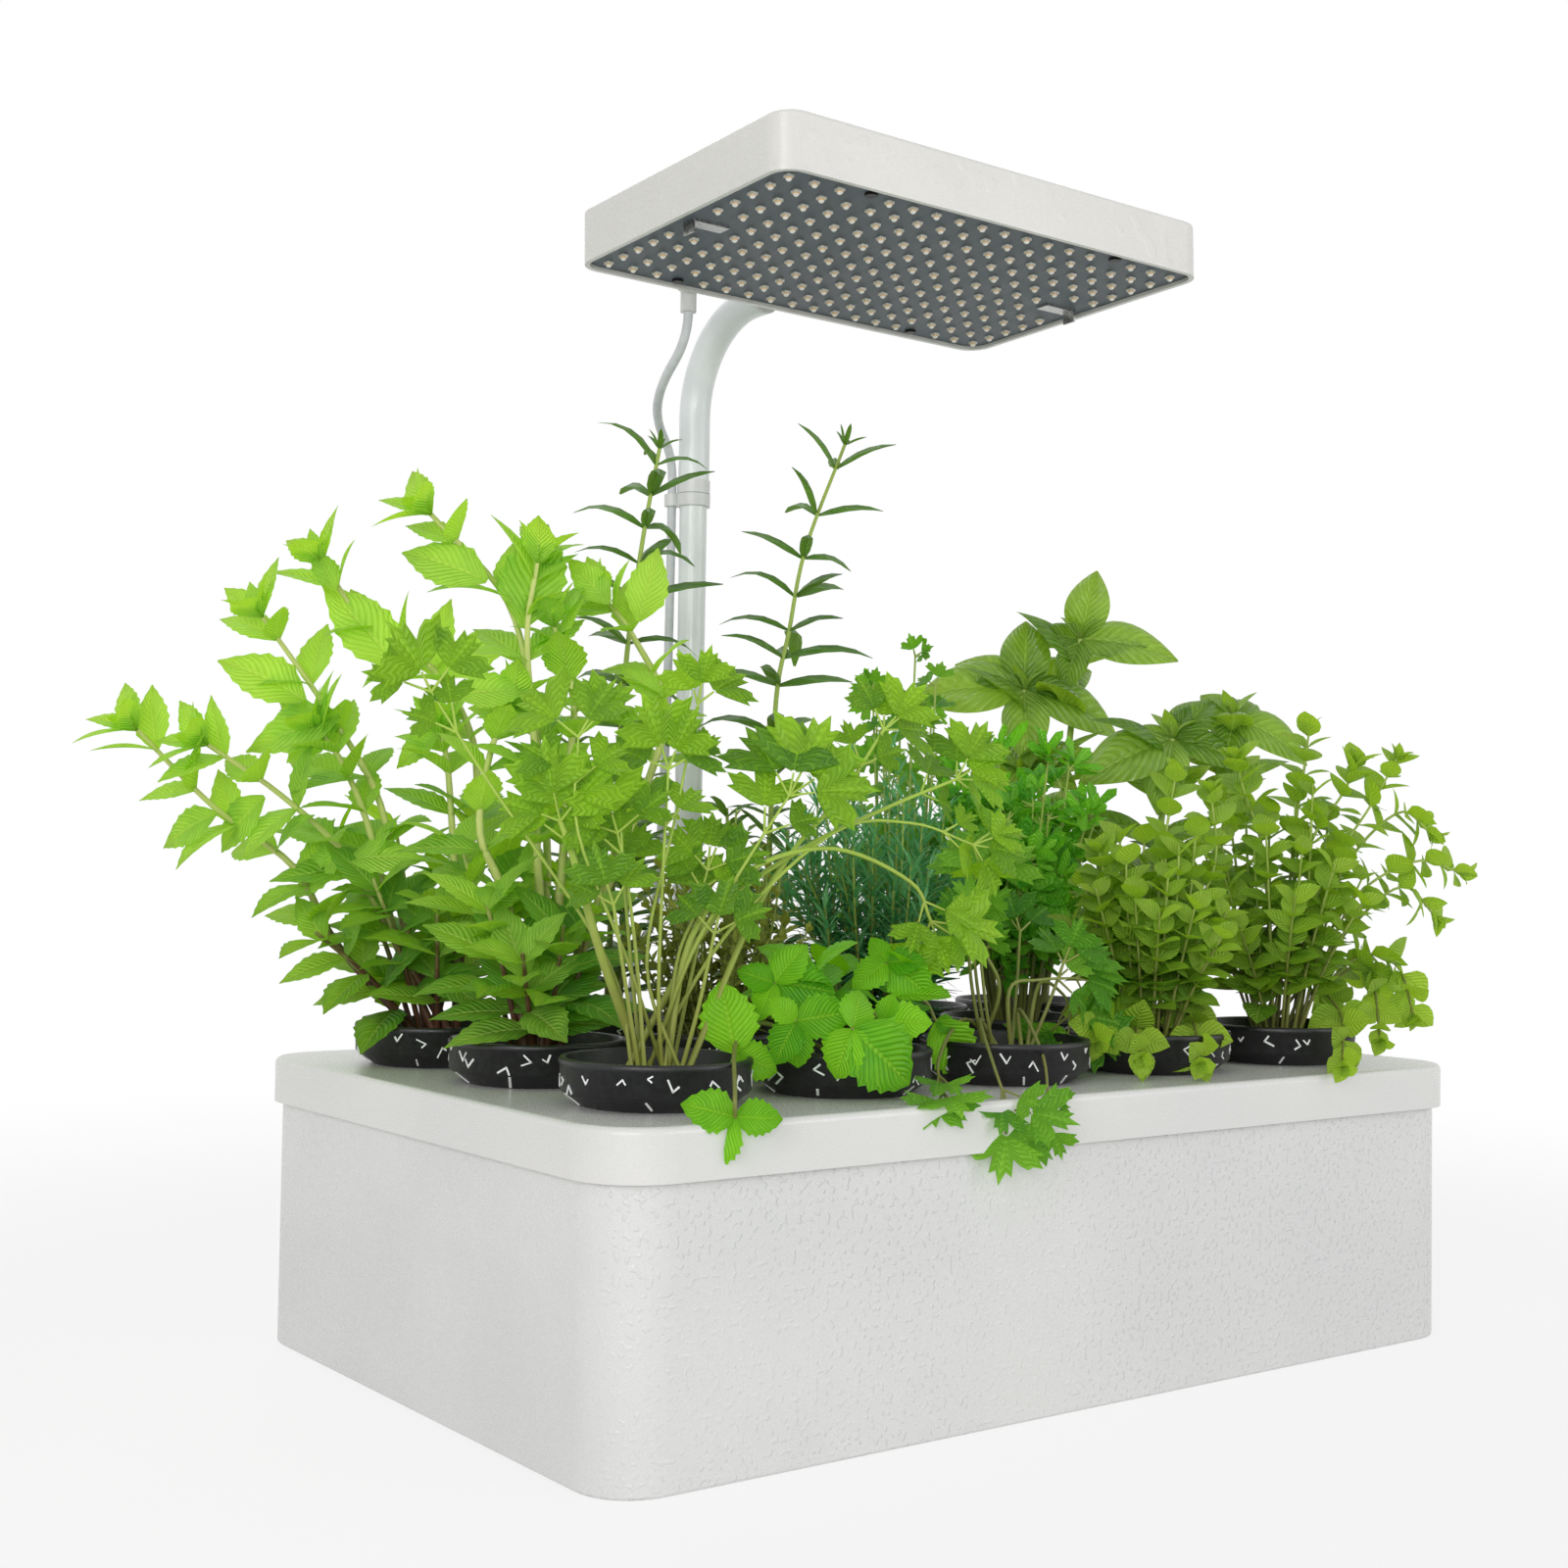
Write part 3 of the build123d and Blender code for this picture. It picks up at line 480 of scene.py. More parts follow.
def smooth_arm():
    """The arm's tube: up from the collar, round its bend and out to the lamp's hinge."""
    bm = bmesh.new()
    foot = Matrix.Translation(Vector((*POLE, COLLAR_TOP)) * MM)
    bmesh.ops.create_circle(bm, segments=ARM_SIDES, radius=ARM_RADIUS * MM, matrix=foot)
    rim = drawn_out(bm, list(bm.edges), (0, 0, ARM_SLEEVE))
    hub = Vector((POLE.x, POLE.y - ARM_BEND, COLLAR_TOP + ARM_SLEEVE)) * MM
    verts = list({vert for edge in rim for vert in edge.verts})
    bend = bmesh.ops.spin(
        bm, geom=verts + rim, cent=hub, axis=(1, 0, 0), angle=pi / 2, steps=ARM_STEPS
    )["geom_last"]
    drawn_out(bm, only(BMEdge, bend), (0, -ARM_STRAIGHT, 0))
    bmesh.ops.remove_doubles(bm, verts=bm.verts, dist=SAME_PLACE)
    bmesh.ops.recalc_face_normals(bm, faces=bm.faces)
    for face in bm.faces:
        face.smooth = True
    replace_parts(piece("arm_tube", bm, "arm", (tube_paint,), "white_tube"), "upper_arm")


def mesh_of(curve):
    """The mesh that a curve makes."""
    maker = bpy.data.objects.new("maker", curve)
    scene.collection.objects.link(maker)
    bpy.context.view_layer.update()
    mesh = bpy.data.meshes.new_from_object(maker.evaluated_get(bpy.context.evaluated_depsgraph_get()))
    bpy.data.objects.remove(maker)
    return mesh


class Tubes:
    """Round tubes along lines of points, made into one mesh."""

    def __init__(self, smoothness):
        self.curve = bpy.data.curves.new("tubes", "CURVE")
        self.curve.dimensions = "3D"
        self.curve.bevel_depth = MM
        self.curve.bevel_resolution = smoothness
        self.curve.use_fill_caps = True

    def add(self, path, thick, thin):
        """A tube along a path; its radius, in millimetres, goes from thick to thin."""
        spline = self.curve.splines.new("POLY")
        spline.points.add(len(path) - 1)
        for k, (point, spot) in enumerate(zip(spline.points, path)):
            point.co = (*spot, 1)
            point.radius = thick + (thin - thick) * k / (len(path) - 1)


def route_line(route):
    """Points along the smooth line that has a route's points as its control points."""
    curve = bpy.data.curves.new("route", "CURVE")
    curve.dimensions = "3D"
    spline = curve.splines.new("NURBS")
    spline.points.add(len(route) - 1)
    for point, spot in zip(spline.points, route):
        point.co = (*spot, 1)
    spline.order_u = 3
    spline.use_endpoint_u = True
    return [vert.co.copy() for vert in mesh_of(curve).vertices]


def sheathed(path):
    """Cable along a path."""
    tube = Tubes(3)
    tube.add(path, CABLE_RADIUS, CABLE_RADIUS)
    bm = bmesh.new()
    bm.from_mesh(mesh_of(tube.curve))
    for face in bm.faces:
        face.smooth = True
    return bm


def bending_cable(name, path):
    """Cable along a path, baked in place of the upper CAD cable."""
    made = mesh_object(name, sheathed(path), cable_sheath)
    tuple(path[0])
    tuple(path[-1])
    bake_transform(made)
    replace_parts(made, "cable_upper")


def cable():
    """Lead from the collar up to the lamp's gland, and from the collar down into the lid."""
    gland = lamp_frame @ (GLAND * MM) - Vector((0, 0, GLAND_DROP)) * MM
    at_collar = Vector((*CABLE, COLLAR_TOP)) * MM
    lead = Vector((0, 0, CABLE_LEAD)) * MM
    upper_route = (
        at_collar,
        at_collar + lead,
        at_collar + COLLAR_BOW * MM,
        gland + GLAND_BOW * MM,
        gland - lead,
        gland,
    )
    lower_route = (
        at_collar,
        Vector((*CABLE, LID_TOP + CABLE_LEAVES_POLE)) * MM,
        Vector((*GROMMET, LID_TOP + CABLE_OVER_GROMMET)) * MM,
        Vector((*GROMMET, LID_TOP - LID_PLATE)) * MM,
    )
    upper = route_line(upper_route)
    half = len(upper) // 2
    bending_cable("cable_at_arm", upper[: half + 1])
    bending_cable("cable_at_lamp", upper[half:])
    run = piece("cable_on_pole", sheathed(route_line(lower_route)), "lid", (cable_sheath,), "cable_grey")
    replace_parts(run, "cable_lower")


smooth_arm()
cable()


# Growing herbs
@dataclass
class Leaf:
    """One kind of leaf blade: its proportions and how its small grid is bent."""

    width: float
    rows: int
    across: int
    teeth: int = 0
    tooth_depth: float = 0.0
    fold: float = 0.25
    droop: float = 0.5
    lobed: bool = False
    blunt: float = 1.0
    ruffle: float = 0.0
    bulge: float = 0.0


LIGHT_THROUGH = 0.4


def leaf_finish(name, dark, light, veins, roughness, glow, vein_light=0.35, relief=0.6):
    """A leaf with a pale midrib, side veins pressed in and a tint for each leaf that also carries painted
    shade on low leaves; light comes through it.
    """
    skin = Finish(name, Specular_IOR_Level=0.4)
    tint = skin.node("ShaderNodeAttribute", {"attribute_name": "tint"}, output="Fac")
    along = skin.node("ShaderNodeSeparateXYZ", inputs={0: skin.node("ShaderNodeUVMap")}, output="X")
    side = abs(Val(skin, along.socket.node.outputs["Y"]) - 0.5)
    rib = skin.between(side, 0.015, 0.05, 1.0, 0.0)
    wave = ((along - side * 0.7) * (veins * tau)).sine()
    line = wave.at_least(0.0) ** 10.0
    patch = skin.noise(130.0)
    # The tint runs from the dark colour, used on low leaves as painted shade, to the light one
    body = skin.mix(skin.between(tint + (patch - 0.5) * 0.5, 0.0, 1.0), srgb(*dark), srgb(*light))
    paler = tuple(min(255, v * 1.12 + 22) for v in light)
    lines = rib.at_least(line * 0.6)
    skin.feed(Base_Color=skin.mix(lines * vein_light, body, srgb(*paler)))
    skin.feed(Roughness=skin.between(patch, 0.3, 0.7, roughness - 0.06, roughness + 0.08))
    puff = abs(wave) * 0.6 - rib * 0.8
    skin.feed(Normal=skin.relief(puff + patch * 0.4, relief, 0.0018))
    skin.blend_with(LIGHT_THROUGH, "ShaderNodeBsdfTranslucent", Color=srgb(*glow))
    return skin.material


def stem_finish(name, low, high, base_height, top_height):
    """A stem that is darker where it leaves the cup and paler towards its tip."""
    skin = Finish(name, Specular_IOR_Level=0.4)
    height = skin.along("Z")
    grain = skin.noise(220.0, detail=3.0)
    share = skin.between(height + (grain - 0.5) * 0.04, base_height * MM, top_height * MM)
    skin.feed(Base_Color=skin.mix(share, srgb(*low), srgb(*high)))
    skin.feed(Roughness=skin.between(grain, 0.3, 0.7, 0.42, 0.58))
    skin.feed(Normal=skin.relief(grain, 0.2, 0.0005))
    return skin.material


def plug_finish():
    """Wet fibre and moss at the top of a rooted plug."""
    skin = Finish("plug_fibre")
    clump = skin.noise(260.0, detail=5.0, rough=0.7)
    moss = skin.noise(70.0)
    earth = skin.mix(skin.between(clump, 0.35, 0.65), srgb(46, 34, 22), srgb(126, 104, 66))
    skin.feed(Base_Color=skin.mix(skin.between(moss, 0.5, 0.65), earth, srgb(92, 112, 44)))
    skin.feed(Roughness=skin.between(clump, 0.3, 0.7, 0.75, 0.95))
    skin.feed(Normal=skin.relief(clump, 1.0, 0.003))
    return skin.material


def smooth_path(points, steps):
    """Points along a smooth line through the given ones."""
    ends = [points[0] * 2 - points[1], *points, points[-1] * 2 - points[-2]]
    path = []
    for a, b, c, d in zip(ends, ends[1:], ends[2:], ends[3:]):
        for k in range(steps):
            t = k / steps
            bend = (a * 2 - b * 5 + c * 4 - d) * t**2
            curl = (b * 3 - a - c * 3 + d) * t**3
            path.append(0.5 * (b * 2 + (c - a) * t + bend + curl))
    return path + [points[-1]]


def outline(leaf, u):
    """Half width of a blade at a share u of its length."""
    swell = sin(pi * min(1.0, u) ** 0.78) ** leaf.blunt
    return max(leaf.width / 2 * swell, 0.012 + 0.02 * (1 - u))


def lobed_outline(leaf, u, w):
    """A point of a cut leaf: three notched lobes that spread from its foot."""
    bearing = w * 1.3
    lobe = abs(cos(w * 1.5 * pi)) ** 0.55
    notch = 0.12 * cos(w * 28)
    radius = (0.05 + 0.95 * u) * (0.42 + 0.50 * lobe + notch * u)
    return radius * cos(bearing), radius * sin(bearing) * leaf.width


# How plants are placed by pixels of the photograph
RIM_ABOVE_ROOT = 35
HANG_PER_PIXEL, HANG_MOST = 1.1, 70.0
PATH_STEPS = 6
GOLDEN = 137.5
FAN_SPREAD = 2.6
STALK_THICK, STALK_THIN = 0.55, 0.4


def ray_at(px, py):
    """The camera's ray through a pixel of the photograph."""
    return look + across * ((px - PHOTO / 2) / FOCAL) + upward * ((PHOTO / 2 - py) / FOCAL)


class Plant:
    """One herb: stems as tubes, leaves as bent blades, and the top of its plug."""

    def __init__(self, row, column, leaf_skin, stem_skin, seed, skew=0.5):
        self.row, self.column = row, column
        self.seat = seat(row, column)
        self.root = self.seat + Vector((0, 0, PLUG_TOP * MM))
        self.rng = random.Random(seed)
        self.skins = (leaf_skin, stem_skin, plug_skin)
        self.skew = skew
        self.depth = (self.root - EYE).dot(look)
        self.middle = (self.root - EYE).dot(across)
        self.rim = PHOTO / 2 - (self.root - EYE).dot(upward) / self.depth * FOCAL - RIM_ABOVE_ROOT
        self.bm = bmesh.new()
        self.bm.loops.layers.uv.new("UVMap")
        self.tint = self.bm.verts.layers.float.new("tint")
        self.tubes = Tubes(1)

    def beside(self, place, px, py, nearer=0.0):
        """The place that shows at a pixel of the photograph, as far from the camera as another place."""
        return EYE + ray_at(px, py) * ((place - EYE).dot(look) - nearer * MM)

    def at(self, px, py, forward=0.0):
        """The place over this cup that shows at a pixel of the photograph.

        Sideways it runs with the cup's row; lower than the rim it hangs in front of the cup and the lid.
        """
        aside = (px - PHOTO / 2) / FOCAL * self.depth - self.middle
        hang = min(max(0.0, py - self.rim) * HANG_PER_PIXEL, HANG_MOST)
        return EYE + ray_at(px, py) * (self.depth + self.skew * aside - (forward + hang) * MM)

    def foot(self, spread=10):
        """A place on the plug for a stem to start."""
        x = self.rng.uniform(-spread, spread)
        y = self.rng.uniform(-spread, spread)
        return self.root + Vector((x, y, -2)) * MM

    def stem(self, marks, thick, thin):
        """A stem from the plug through pixels of the photograph, some brought nearer to the camera."""
        shift = self.rng.uniform(-9, 9)
        spots = [self.at(px, py, shift + sum(nearer)) for px, py, *nearer in marks]
        path = smooth_path([self.foot(), *spots], PATH_STEPS)
        self.tubes.add(path, thick, thin)
        return path

    def lean(self, heading, reach, rise, thick, thin, bow=0.35):
        """A stem that leans out of the cup on a bearing, in degrees, and curves up to its tip."""
        way = Vector((cos(radians(heading)), sin(radians(heading)), 0))
        foot = self.root + way * min(9, reach * 0.5) * MM - Vector((0, 0, 2 * MM))
        middle = foot + way * reach * bow * MM + Vector((0, 0, rise * 0.55 * MM))
        tip = self.root + way * reach * MM + Vector((0, 0, rise * MM))
        path = smooth_path([foot, middle, tip], PATH_STEPS)
        self.tubes.add(path, thick, thin)
        return path

    def leaning(self, low_stems, thick, thin):
        """Low stems that lean out of the cup, one after another."""
        for heading, reach, rise in low_stems:
            yield self.lean(heading, reach, rise, thick, thin)

    def leaf(self, leaf, foot, heading, face, length, tint):
        """A blade that starts at foot and runs along heading, its upper side towards face."""
        heading = heading.normalized()
        side = face.cross(heading).normalized()
        face = heading.cross(side)
        length *= MM
        made = bmesh.ops.create_grid(
            self.bm, x_segments=leaf.rows, y_segments=leaf.across, size=1.0, calc_uvs=True
        )["verts"]
        twist = self.rng.uniform(-0.25, 0.25)
        droop = leaf.droop * self.rng.uniform(0.6, 1.4)
        for vert in made:
            u, w = (vert.co.x + 1) / 2, vert.co.y
            if leaf.lobed:
                x, y = lobed_outline(leaf, u, w)
            else:
                half = outline(leaf, u)
                if leaf.teeth and abs(w) > 0.9:
                    half *= 1 - leaf.tooth_depth * ((u * leaf.teeth) % 1.0 > 0.45)
                x, y = u, half * w
            z = leaf.fold * abs(y) - droop * x * x / 2 + twist * y * x
            puffed = leaf.bulge * sin(pi * abs(w)) * abs(sin(pi * u))
            z += puffed + leaf.ruffle * sin(u * 17 + w * 2) * abs(w)
            x *= 1 - droop * droop * x * x / 6
            vert.co = foot + (heading * x + side * y + face * z) * length
            vert[self.tint] = tint
        for blade in {face for vert in made for face in vert.link_faces}:
            blade.smooth = True

    def blade(self, leaf, foot, tip, tint, rise=0.6):
        """A blade from one place to another, its upper side towards the front and the sky."""
        way = tip - foot
        way += look * way.length * self.rng.uniform(-0.3, 0.3)
        face = Vector((0, 0, rise)) - look + across * self.rng.uniform(-0.35, 0.35)
        self.leaf(leaf, foot, way, face, way.length / MM, tint)

    def pairs(self, path, leaf, first, sets, sizes, tints, spread=1.15, whorl=2, lift=0.6):
        """Leaves along a stem in sets, each set turned about a quarter from the one below."""
        rng = self.rng
        spin = rng.uniform(0, tau)
        for k in range(sets):
            share = first + (1 - first) * (k + 0.5) / sets
            spot = min(int(share * (len(path) - 1)), len(path) - 2)
            foot = path[spot].lerp(path[spot + 1], share * (len(path) - 1) - spot)
            axis = (path[spot + 1] - path[spot]).normalized()
            start = axis.orthogonal().normalized()
            grown = sizes[0] + (sizes[1] - sizes[0]) * share**1.5
            for m in range(whorl):
                turn = spin + k * 1.62 + m * tau / whorl + rng.uniform(-0.3, 0.3)
                outward = (Matrix.Rotation(turn, 3, axis) @ start).normalized()
                angle = spread * rng.uniform(0.75, 1.15) * (1 - 0.45 * share**3)
                heading = axis * cos(angle) + outward * sin(angle)
                face = axis * sin(angle) - outward * cos(angle) + Vector((0, 0, lift + 0.2)) - look * lift
                # Tone runs from dark at a stem's foot to pale at its top, and low stems get darker ranges:
                # painted shade lower in the plant; the random spread is each leaf's own difference
                tint = tints[0] + (tints[1] - tints[0]) * share + rng.uniform(-0.22, 0.22)
                self.leaf(leaf, foot, heading, face, grown * rng.uniform(0.8, 1.15), tint)

    def tuft(self, path, leaf, count, size, tint):
        """Young leaves that stand close round a stem's tip."""
        axis = (path[-1] - path[-3]).normalized()
        start = axis.orthogonal().normalized()
        for k in range(count):
            outward = Matrix.Rotation(k * 2.4, 3, axis) @ start
            angle = 0.25 + 0.11 * k
            heading = axis * cos(angle) + outward * sin(angle)
            face = axis * sin(angle) - outward * cos(angle)
            self.leaf(leaf, path[-1], heading, face, size * (0.7 + 0.09 * k), tint)

    def fan(self, foot, way, leaf, count, size, tints, stalk):
        """Cut leaves that spread from the end of a stem, each on a short stalk of its own."""
        rng = self.rng
        for k in range(count):
            turn = (k - (count - 1) / 2) * FAN_SPREAD / count + rng.uniform(-0.2, 0.2)
            heading = Matrix.Rotation(turn, 3, look) @ way.normalized()
            heading += Vector((rng.uniform(-0.35, 0.35), rng.uniform(-0.35, 0.35), 0.12))
            end = foot + heading.normalized() * stalk * rng.uniform(0.7, 1.2) * MM
            self.tubes.add([foot, foot.lerp(end, 0.5), end], STALK_THICK, STALK_THIN)
            tip = end + heading.normalized() * size * rng.uniform(0.8, 1.15) * MM
            self.blade(leaf, end, tip, rng.uniform(*tints))

    def sprays(self, path, leaf, places, size, tints):
        """Small cut leaves in threes along a stem."""
        rng = self.rng
        for share in places:
            foot = path[int(share * (len(path) - 1))]
            way = Matrix.Rotation(rng.uniform(0, tau), 3, "Z") @ Vector((1, 0, 0.6))
            self.fan(foot, way, leaf, 3, size * rng.uniform(0.75, 1.2), tints, size * 0.45)

    def finish(self, name, slot):
        """Joins stems and plug to the leaves and hands the plant to its cup."""
        before = len(self.bm.faces)
        self.bm.from_mesh(mesh_of(self.tubes.curve))
        self.bm.faces.ensure_lookup_table()
        for face in self.bm.faces[before:]:
            face.material_index = 1
            face.smooth = True
        profile = (
            (0, CUP_WALL - BASKET_DEPTH + 0.6),
            (BASKET_TOE - CUP_WALL - 0.6, CUP_WALL - BASKET_DEPTH + 0.6),
            (BASKET - CUP_WALL - 0.6, CUP_WALL),
            (CUP_RADIUS - CUP_WALL - 0.6, CUP_SHOULDER + CUP_WALL),
            (CUP_RADIUS - CUP_WALL - 0.6, PLUG_TOP - 2.0),
            (22, PLUG_TOP - 0.6),
            (10, PLUG_TOP + 0.6),
            (0, PLUG_TOP + 1.0),
        )
        turned(self.bm, profile, PLUG_SIDES, self.seat, material=2)
        cup = f"cup_{self.row}_{self.column}"
        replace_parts(piece(name, self.bm, cup, self.skins, slot), bodies[cup][1])


mint_leaf = Leaf(0.56, 14, 6, teeth=7, tooth_depth=0.12, fold=0.16, droop=0.45, bulge=0.03)
balm_leaf = Leaf(0.84, 14, 6, teeth=7, tooth_depth=0.15, fold=0.12, droop=0.45, blunt=0.75, bulge=0.04)
basil_leaf = Leaf(0.58, 10, 8, fold=0.05, droop=0.6, blunt=0.85, bulge=0.09)
oregano_leaf = Leaf(0.82, 5, 2, fold=0.2, droop=0.4, blunt=0.8)
rosemary_needle = Leaf(0.19, 5, 2, fold=-0.8, droop=1.0, blunt=0.5)
savory_needle = Leaf(0.12, 2, 1, droop=0.4, blunt=0.5)
thyme_leaf = Leaf(0.5, 2, 2, droop=0.4, blunt=0.7)
parsley_leaf = Leaf(1.0, 3, 20, fold=0.14, droop=0.4, lobed=True)
curled_leaf = Leaf(1.05, 3, 12, fold=0.2, droop=0.3, lobed=True, ruffle=0.22)
coriander_leaf = Leaf(1.05, 3, 16, fold=0.1, droop=0.35, lobed=True)

plug_skin = plug_finish()
mint_skin = leaf_finish("mint_leaf", (70, 138, 36), (190, 238, 92), 6, 0.56, (190, 240, 40), 0.3, 0.6)
balm_skin = leaf_finish("lemon_balm_leaf", (82, 168, 16), (154, 234, 42), 6, 0.42, (140, 210, 20))
basil_skin = leaf_finish("basil_leaf", (76, 124, 32), (166, 204, 88), 5, 0.24, (160, 200, 40), 0.3, 0.7)
oregano_skin = leaf_finish("oregano_leaf", (92, 146, 28), (178, 216, 72), 4, 0.5, (160, 200, 30), 0.2)
rosemary_skin = leaf_finish("rosemary_leaf", (46, 88, 32), (104, 154, 68), 1, 0.4, (110, 150, 40), 0.3)
savory_skin = leaf_finish("savory_leaf", (58, 146, 84), (150, 220, 150), 1, 0.5, (80, 170, 90), 0.2)
thyme_skin = leaf_finish("thyme_leaf", (112, 128, 48), (190, 198, 92), 2, 0.55, (150, 160, 50), 0.2)
parsley_skin = leaf_finish("parsley_leaf", (78, 130, 34), (156, 208, 44), 3, 0.42, (150, 200, 20), 0.3)
curled_skin = leaf_finish("curled_leaf", (76, 168, 28), (142, 222, 60), 3, 0.45, (130, 210, 30), 0.3)
coriander_skin = leaf_finish("coriander_leaf", (60, 128, 22), (132, 192, 52), 3, 0.45, (130, 200, 30), 0.3)

mint_stem = stem_finish("mint_stem", (88, 54, 38), (198, 208, 122), 150, 215)
pale_stem = stem_finish("parsley_stem", (140, 148, 66), (166, 196, 78), 140, 240)
green_stem = stem_finish("herb_stem", (120, 124, 60), (160, 184, 84), 140, 220)


def mint(plant, name, shoots, large_leaves, low_stems):
    """Tall shoots with toothed leaves in pairs, some large ones, and a skirt of low ones made darker as
    painted shade.
    """
    for marks in shoots:
        path = plant.stem(marks, 2.0, 1.0)
        plant.pairs(path, mint_leaf, first=0.25, sets=6, sizes=(36, 26), tints=(0.2, 1.0), lift=0.7)
        plant.tuft(path, mint_leaf, 6, 23, 0.95)
    for foot, tip in large_leaves:
        start = plant.at(*foot, plant.rng.uniform(0, 10))
        plant.blade(mint_leaf, start, plant.beside(start, *tip), plant.rng.uniform(0.55, 1.0))
    for path in plant.leaning(low_stems, 1.3, 0.8):
        plant.pairs(
            path, mint_leaf, first=0.2, sets=5, sizes=(36, 27), spread=1.2, tints=(0.0, 0.5), lift=0.7
        )
    plant.finish(name, "dark_leaf")


def rosemary(plant, name, marks, low_stems):
    """One tall shoot of long drooping needles, with short ones at its foot."""
    path = plant.stem(marks, 1.5, 0.9)
    plant.pairs(
        path, rosemary_needle, first=0.3, sets=8, sizes=(45, 30), spread=1.1, tints=(0.2, 0.8), whorl=3
    )
    plant.tuft(path, rosemary_needle, 5, 13, 0.7)
    for path in plant.leaning(low_stems, 1.2, 0.8):
        plant.pairs(
            path, rosemary_needle, first=0.15, sets=10, sizes=(28, 20), tints=(0.1, 0.5),
            spread=1.0, whorl=3, lift=0.1,
        )
    plant.finish(name, "dark_leaf")


def parsley(plant, name, shoots, low_stems, low_size):
    """Long bare stalks that arch out of the cup and end in fans of cut leaves."""
    for marks, thick, count, size in shoots:
        path = plant.stem(marks, thick, thick * 0.5)
        stalk = size * 0.5
        plant.fan(path[-1], path[-1] - path[-4], parsley_leaf, count, size, (0.15, 0.95), stalk)
        plant.fan(path[-4], path[-1] - path[-6], parsley_leaf, 2, size * 0.7, (0.2, 0.8), stalk)
    # Low fans take darker tones as painted shade
    for path in plant.leaning(low_stems, 0.9, 0.6):
        plant.fan(path[-1], path[-1] - path[-4], parsley_leaf, 3, low_size, (0.0, 0.6), low_size * 0.5)
    plant.finish(name, "light_leaf")


def lemon_balm(plant, name, rosettes, low_stems):
    """Low stems, each with a rosette of broad leaves that point at places in the photograph."""
    for marks, tips in rosettes:
        path = plant.stem(marks, 1.0, 0.7)
        for px, py in tips:
            tip = plant.beside(path[-1], px, py, plant.rng.uniform(-6, 6))
            plant.blade(balm_leaf, path[-1], tip, plant.rng.uniform(0.2, 0.95), rise=0.4)
    for path in plant.leaning(low_stems, 1.0, 0.7):
        plant.pairs(
            path, balm_leaf, first=0.4, sets=3, sizes=(26, 20), spread=1.2, tints=(0.1, 0.6), lift=0.7
        )
    plant.finish(name, "light_leaf")


def cut_leaf_bush(plant, name, leaf, stems, spread, tall, size):
    """Many fine stems with small cut leaves in threes."""
    rng = plant.rng
    for k in range(stems):
        reach = rng.uniform(5, spread)
        path = plant.lean(k * GOLDEN, reach, rng.uniform(0.4, 1.0) * tall, 0.8, 0.5)
        plant.sprays(path, leaf, (0.5, 0.75, 1.0), size, (0.1, 0.95))
    plant.finish(name, "light_leaf")


def oregano(plant, name, sprigs, stems, spread, tall):
    """A rounded bush of thin stems with small oval leaves; some sprigs hang out over the lid."""
    rng = plant.rng
    for marks in sprigs:
        path = plant.stem(marks, 0.8, 0.5)
        plant.pairs(path, oregano_leaf, first=0.3, sets=7, sizes=(18, 13), tints=(0.3, 1.0))
        plant.tuft(path, oregano_leaf, 4, 10, 0.9)
    for k in range(stems):
        reach = spread * (0.15 + 0.85 * ((k + 0.5) / stems) ** 0.5)
        rise = tall * rng.uniform(0.75, 1.0) * (1 - 0.55 * (reach / spread) ** 2)
        path = plant.lean(k * GOLDEN, reach, rise, 0.8, 0.5)
        plant.pairs(path, oregano_leaf, first=0.25, sets=7, sizes=(17, 12), tints=(0.1, 0.9))
    plant.finish(name, "mid_leaf")


def fine_bush(plant, name, leaf, stems, spread, tall, sets, size, whorl):
    """A dense bush of thin upright stems with very small leaves."""
    rng = plant.rng
    for k in range(stems):
        reach = spread * (0.1 + 0.9 * ((k + 0.5) / stems) ** 0.5)
        rise = tall * rng.uniform(0.7, 1.0) * (1 - 0.45 * (reach / spread) ** 2)
        heading = k * GOLDEN + rng.uniform(-15, 15)
        path = plant.lean(heading, reach, rise, 0.8, 0.4, bow=rng.uniform(0.2, 0.6))
        plant.pairs(
            path, leaf, first=0.12, sets=sets, sizes=(size, size * 0.7), tints=(0.05, 0.9),
            spread=1.0, whorl=whorl, lift=0.1,
        )
    plant.finish(name, "mid_leaf")


def basil(plant, name, rosettes, low_stems):
    """Stout stems that each end in a rosette whose leaves point at places in the photograph."""
    for marks, tips in rosettes:
        path = plant.stem(marks, 2.2, 1.5)
        for px, py, nearer in tips:
            tip = plant.beside(path[-1], px, py, nearer)
            plant.blade(basil_leaf, path[-1], tip, plant.rng.uniform(0.2, 0.8), rise=0.8)
        plant.tuft(path, basil_leaf, 4, 20, 0.95)
        plant.pairs(path, basil_leaf, first=0.3, sets=4, sizes=(44, 42), spread=1.2, tints=(0.0, 0.45))
    for path in plant.leaning(low_stems, 1.6, 1.0):
        plant.pairs(path, basil_leaf, first=0.35, sets=3, sizes=(36, 32), tints=(0.0, 0.6))
        plant.tuft(path, basil_leaf, 4, 18, 0.9)
    plant.finish(name, "light_leaf")


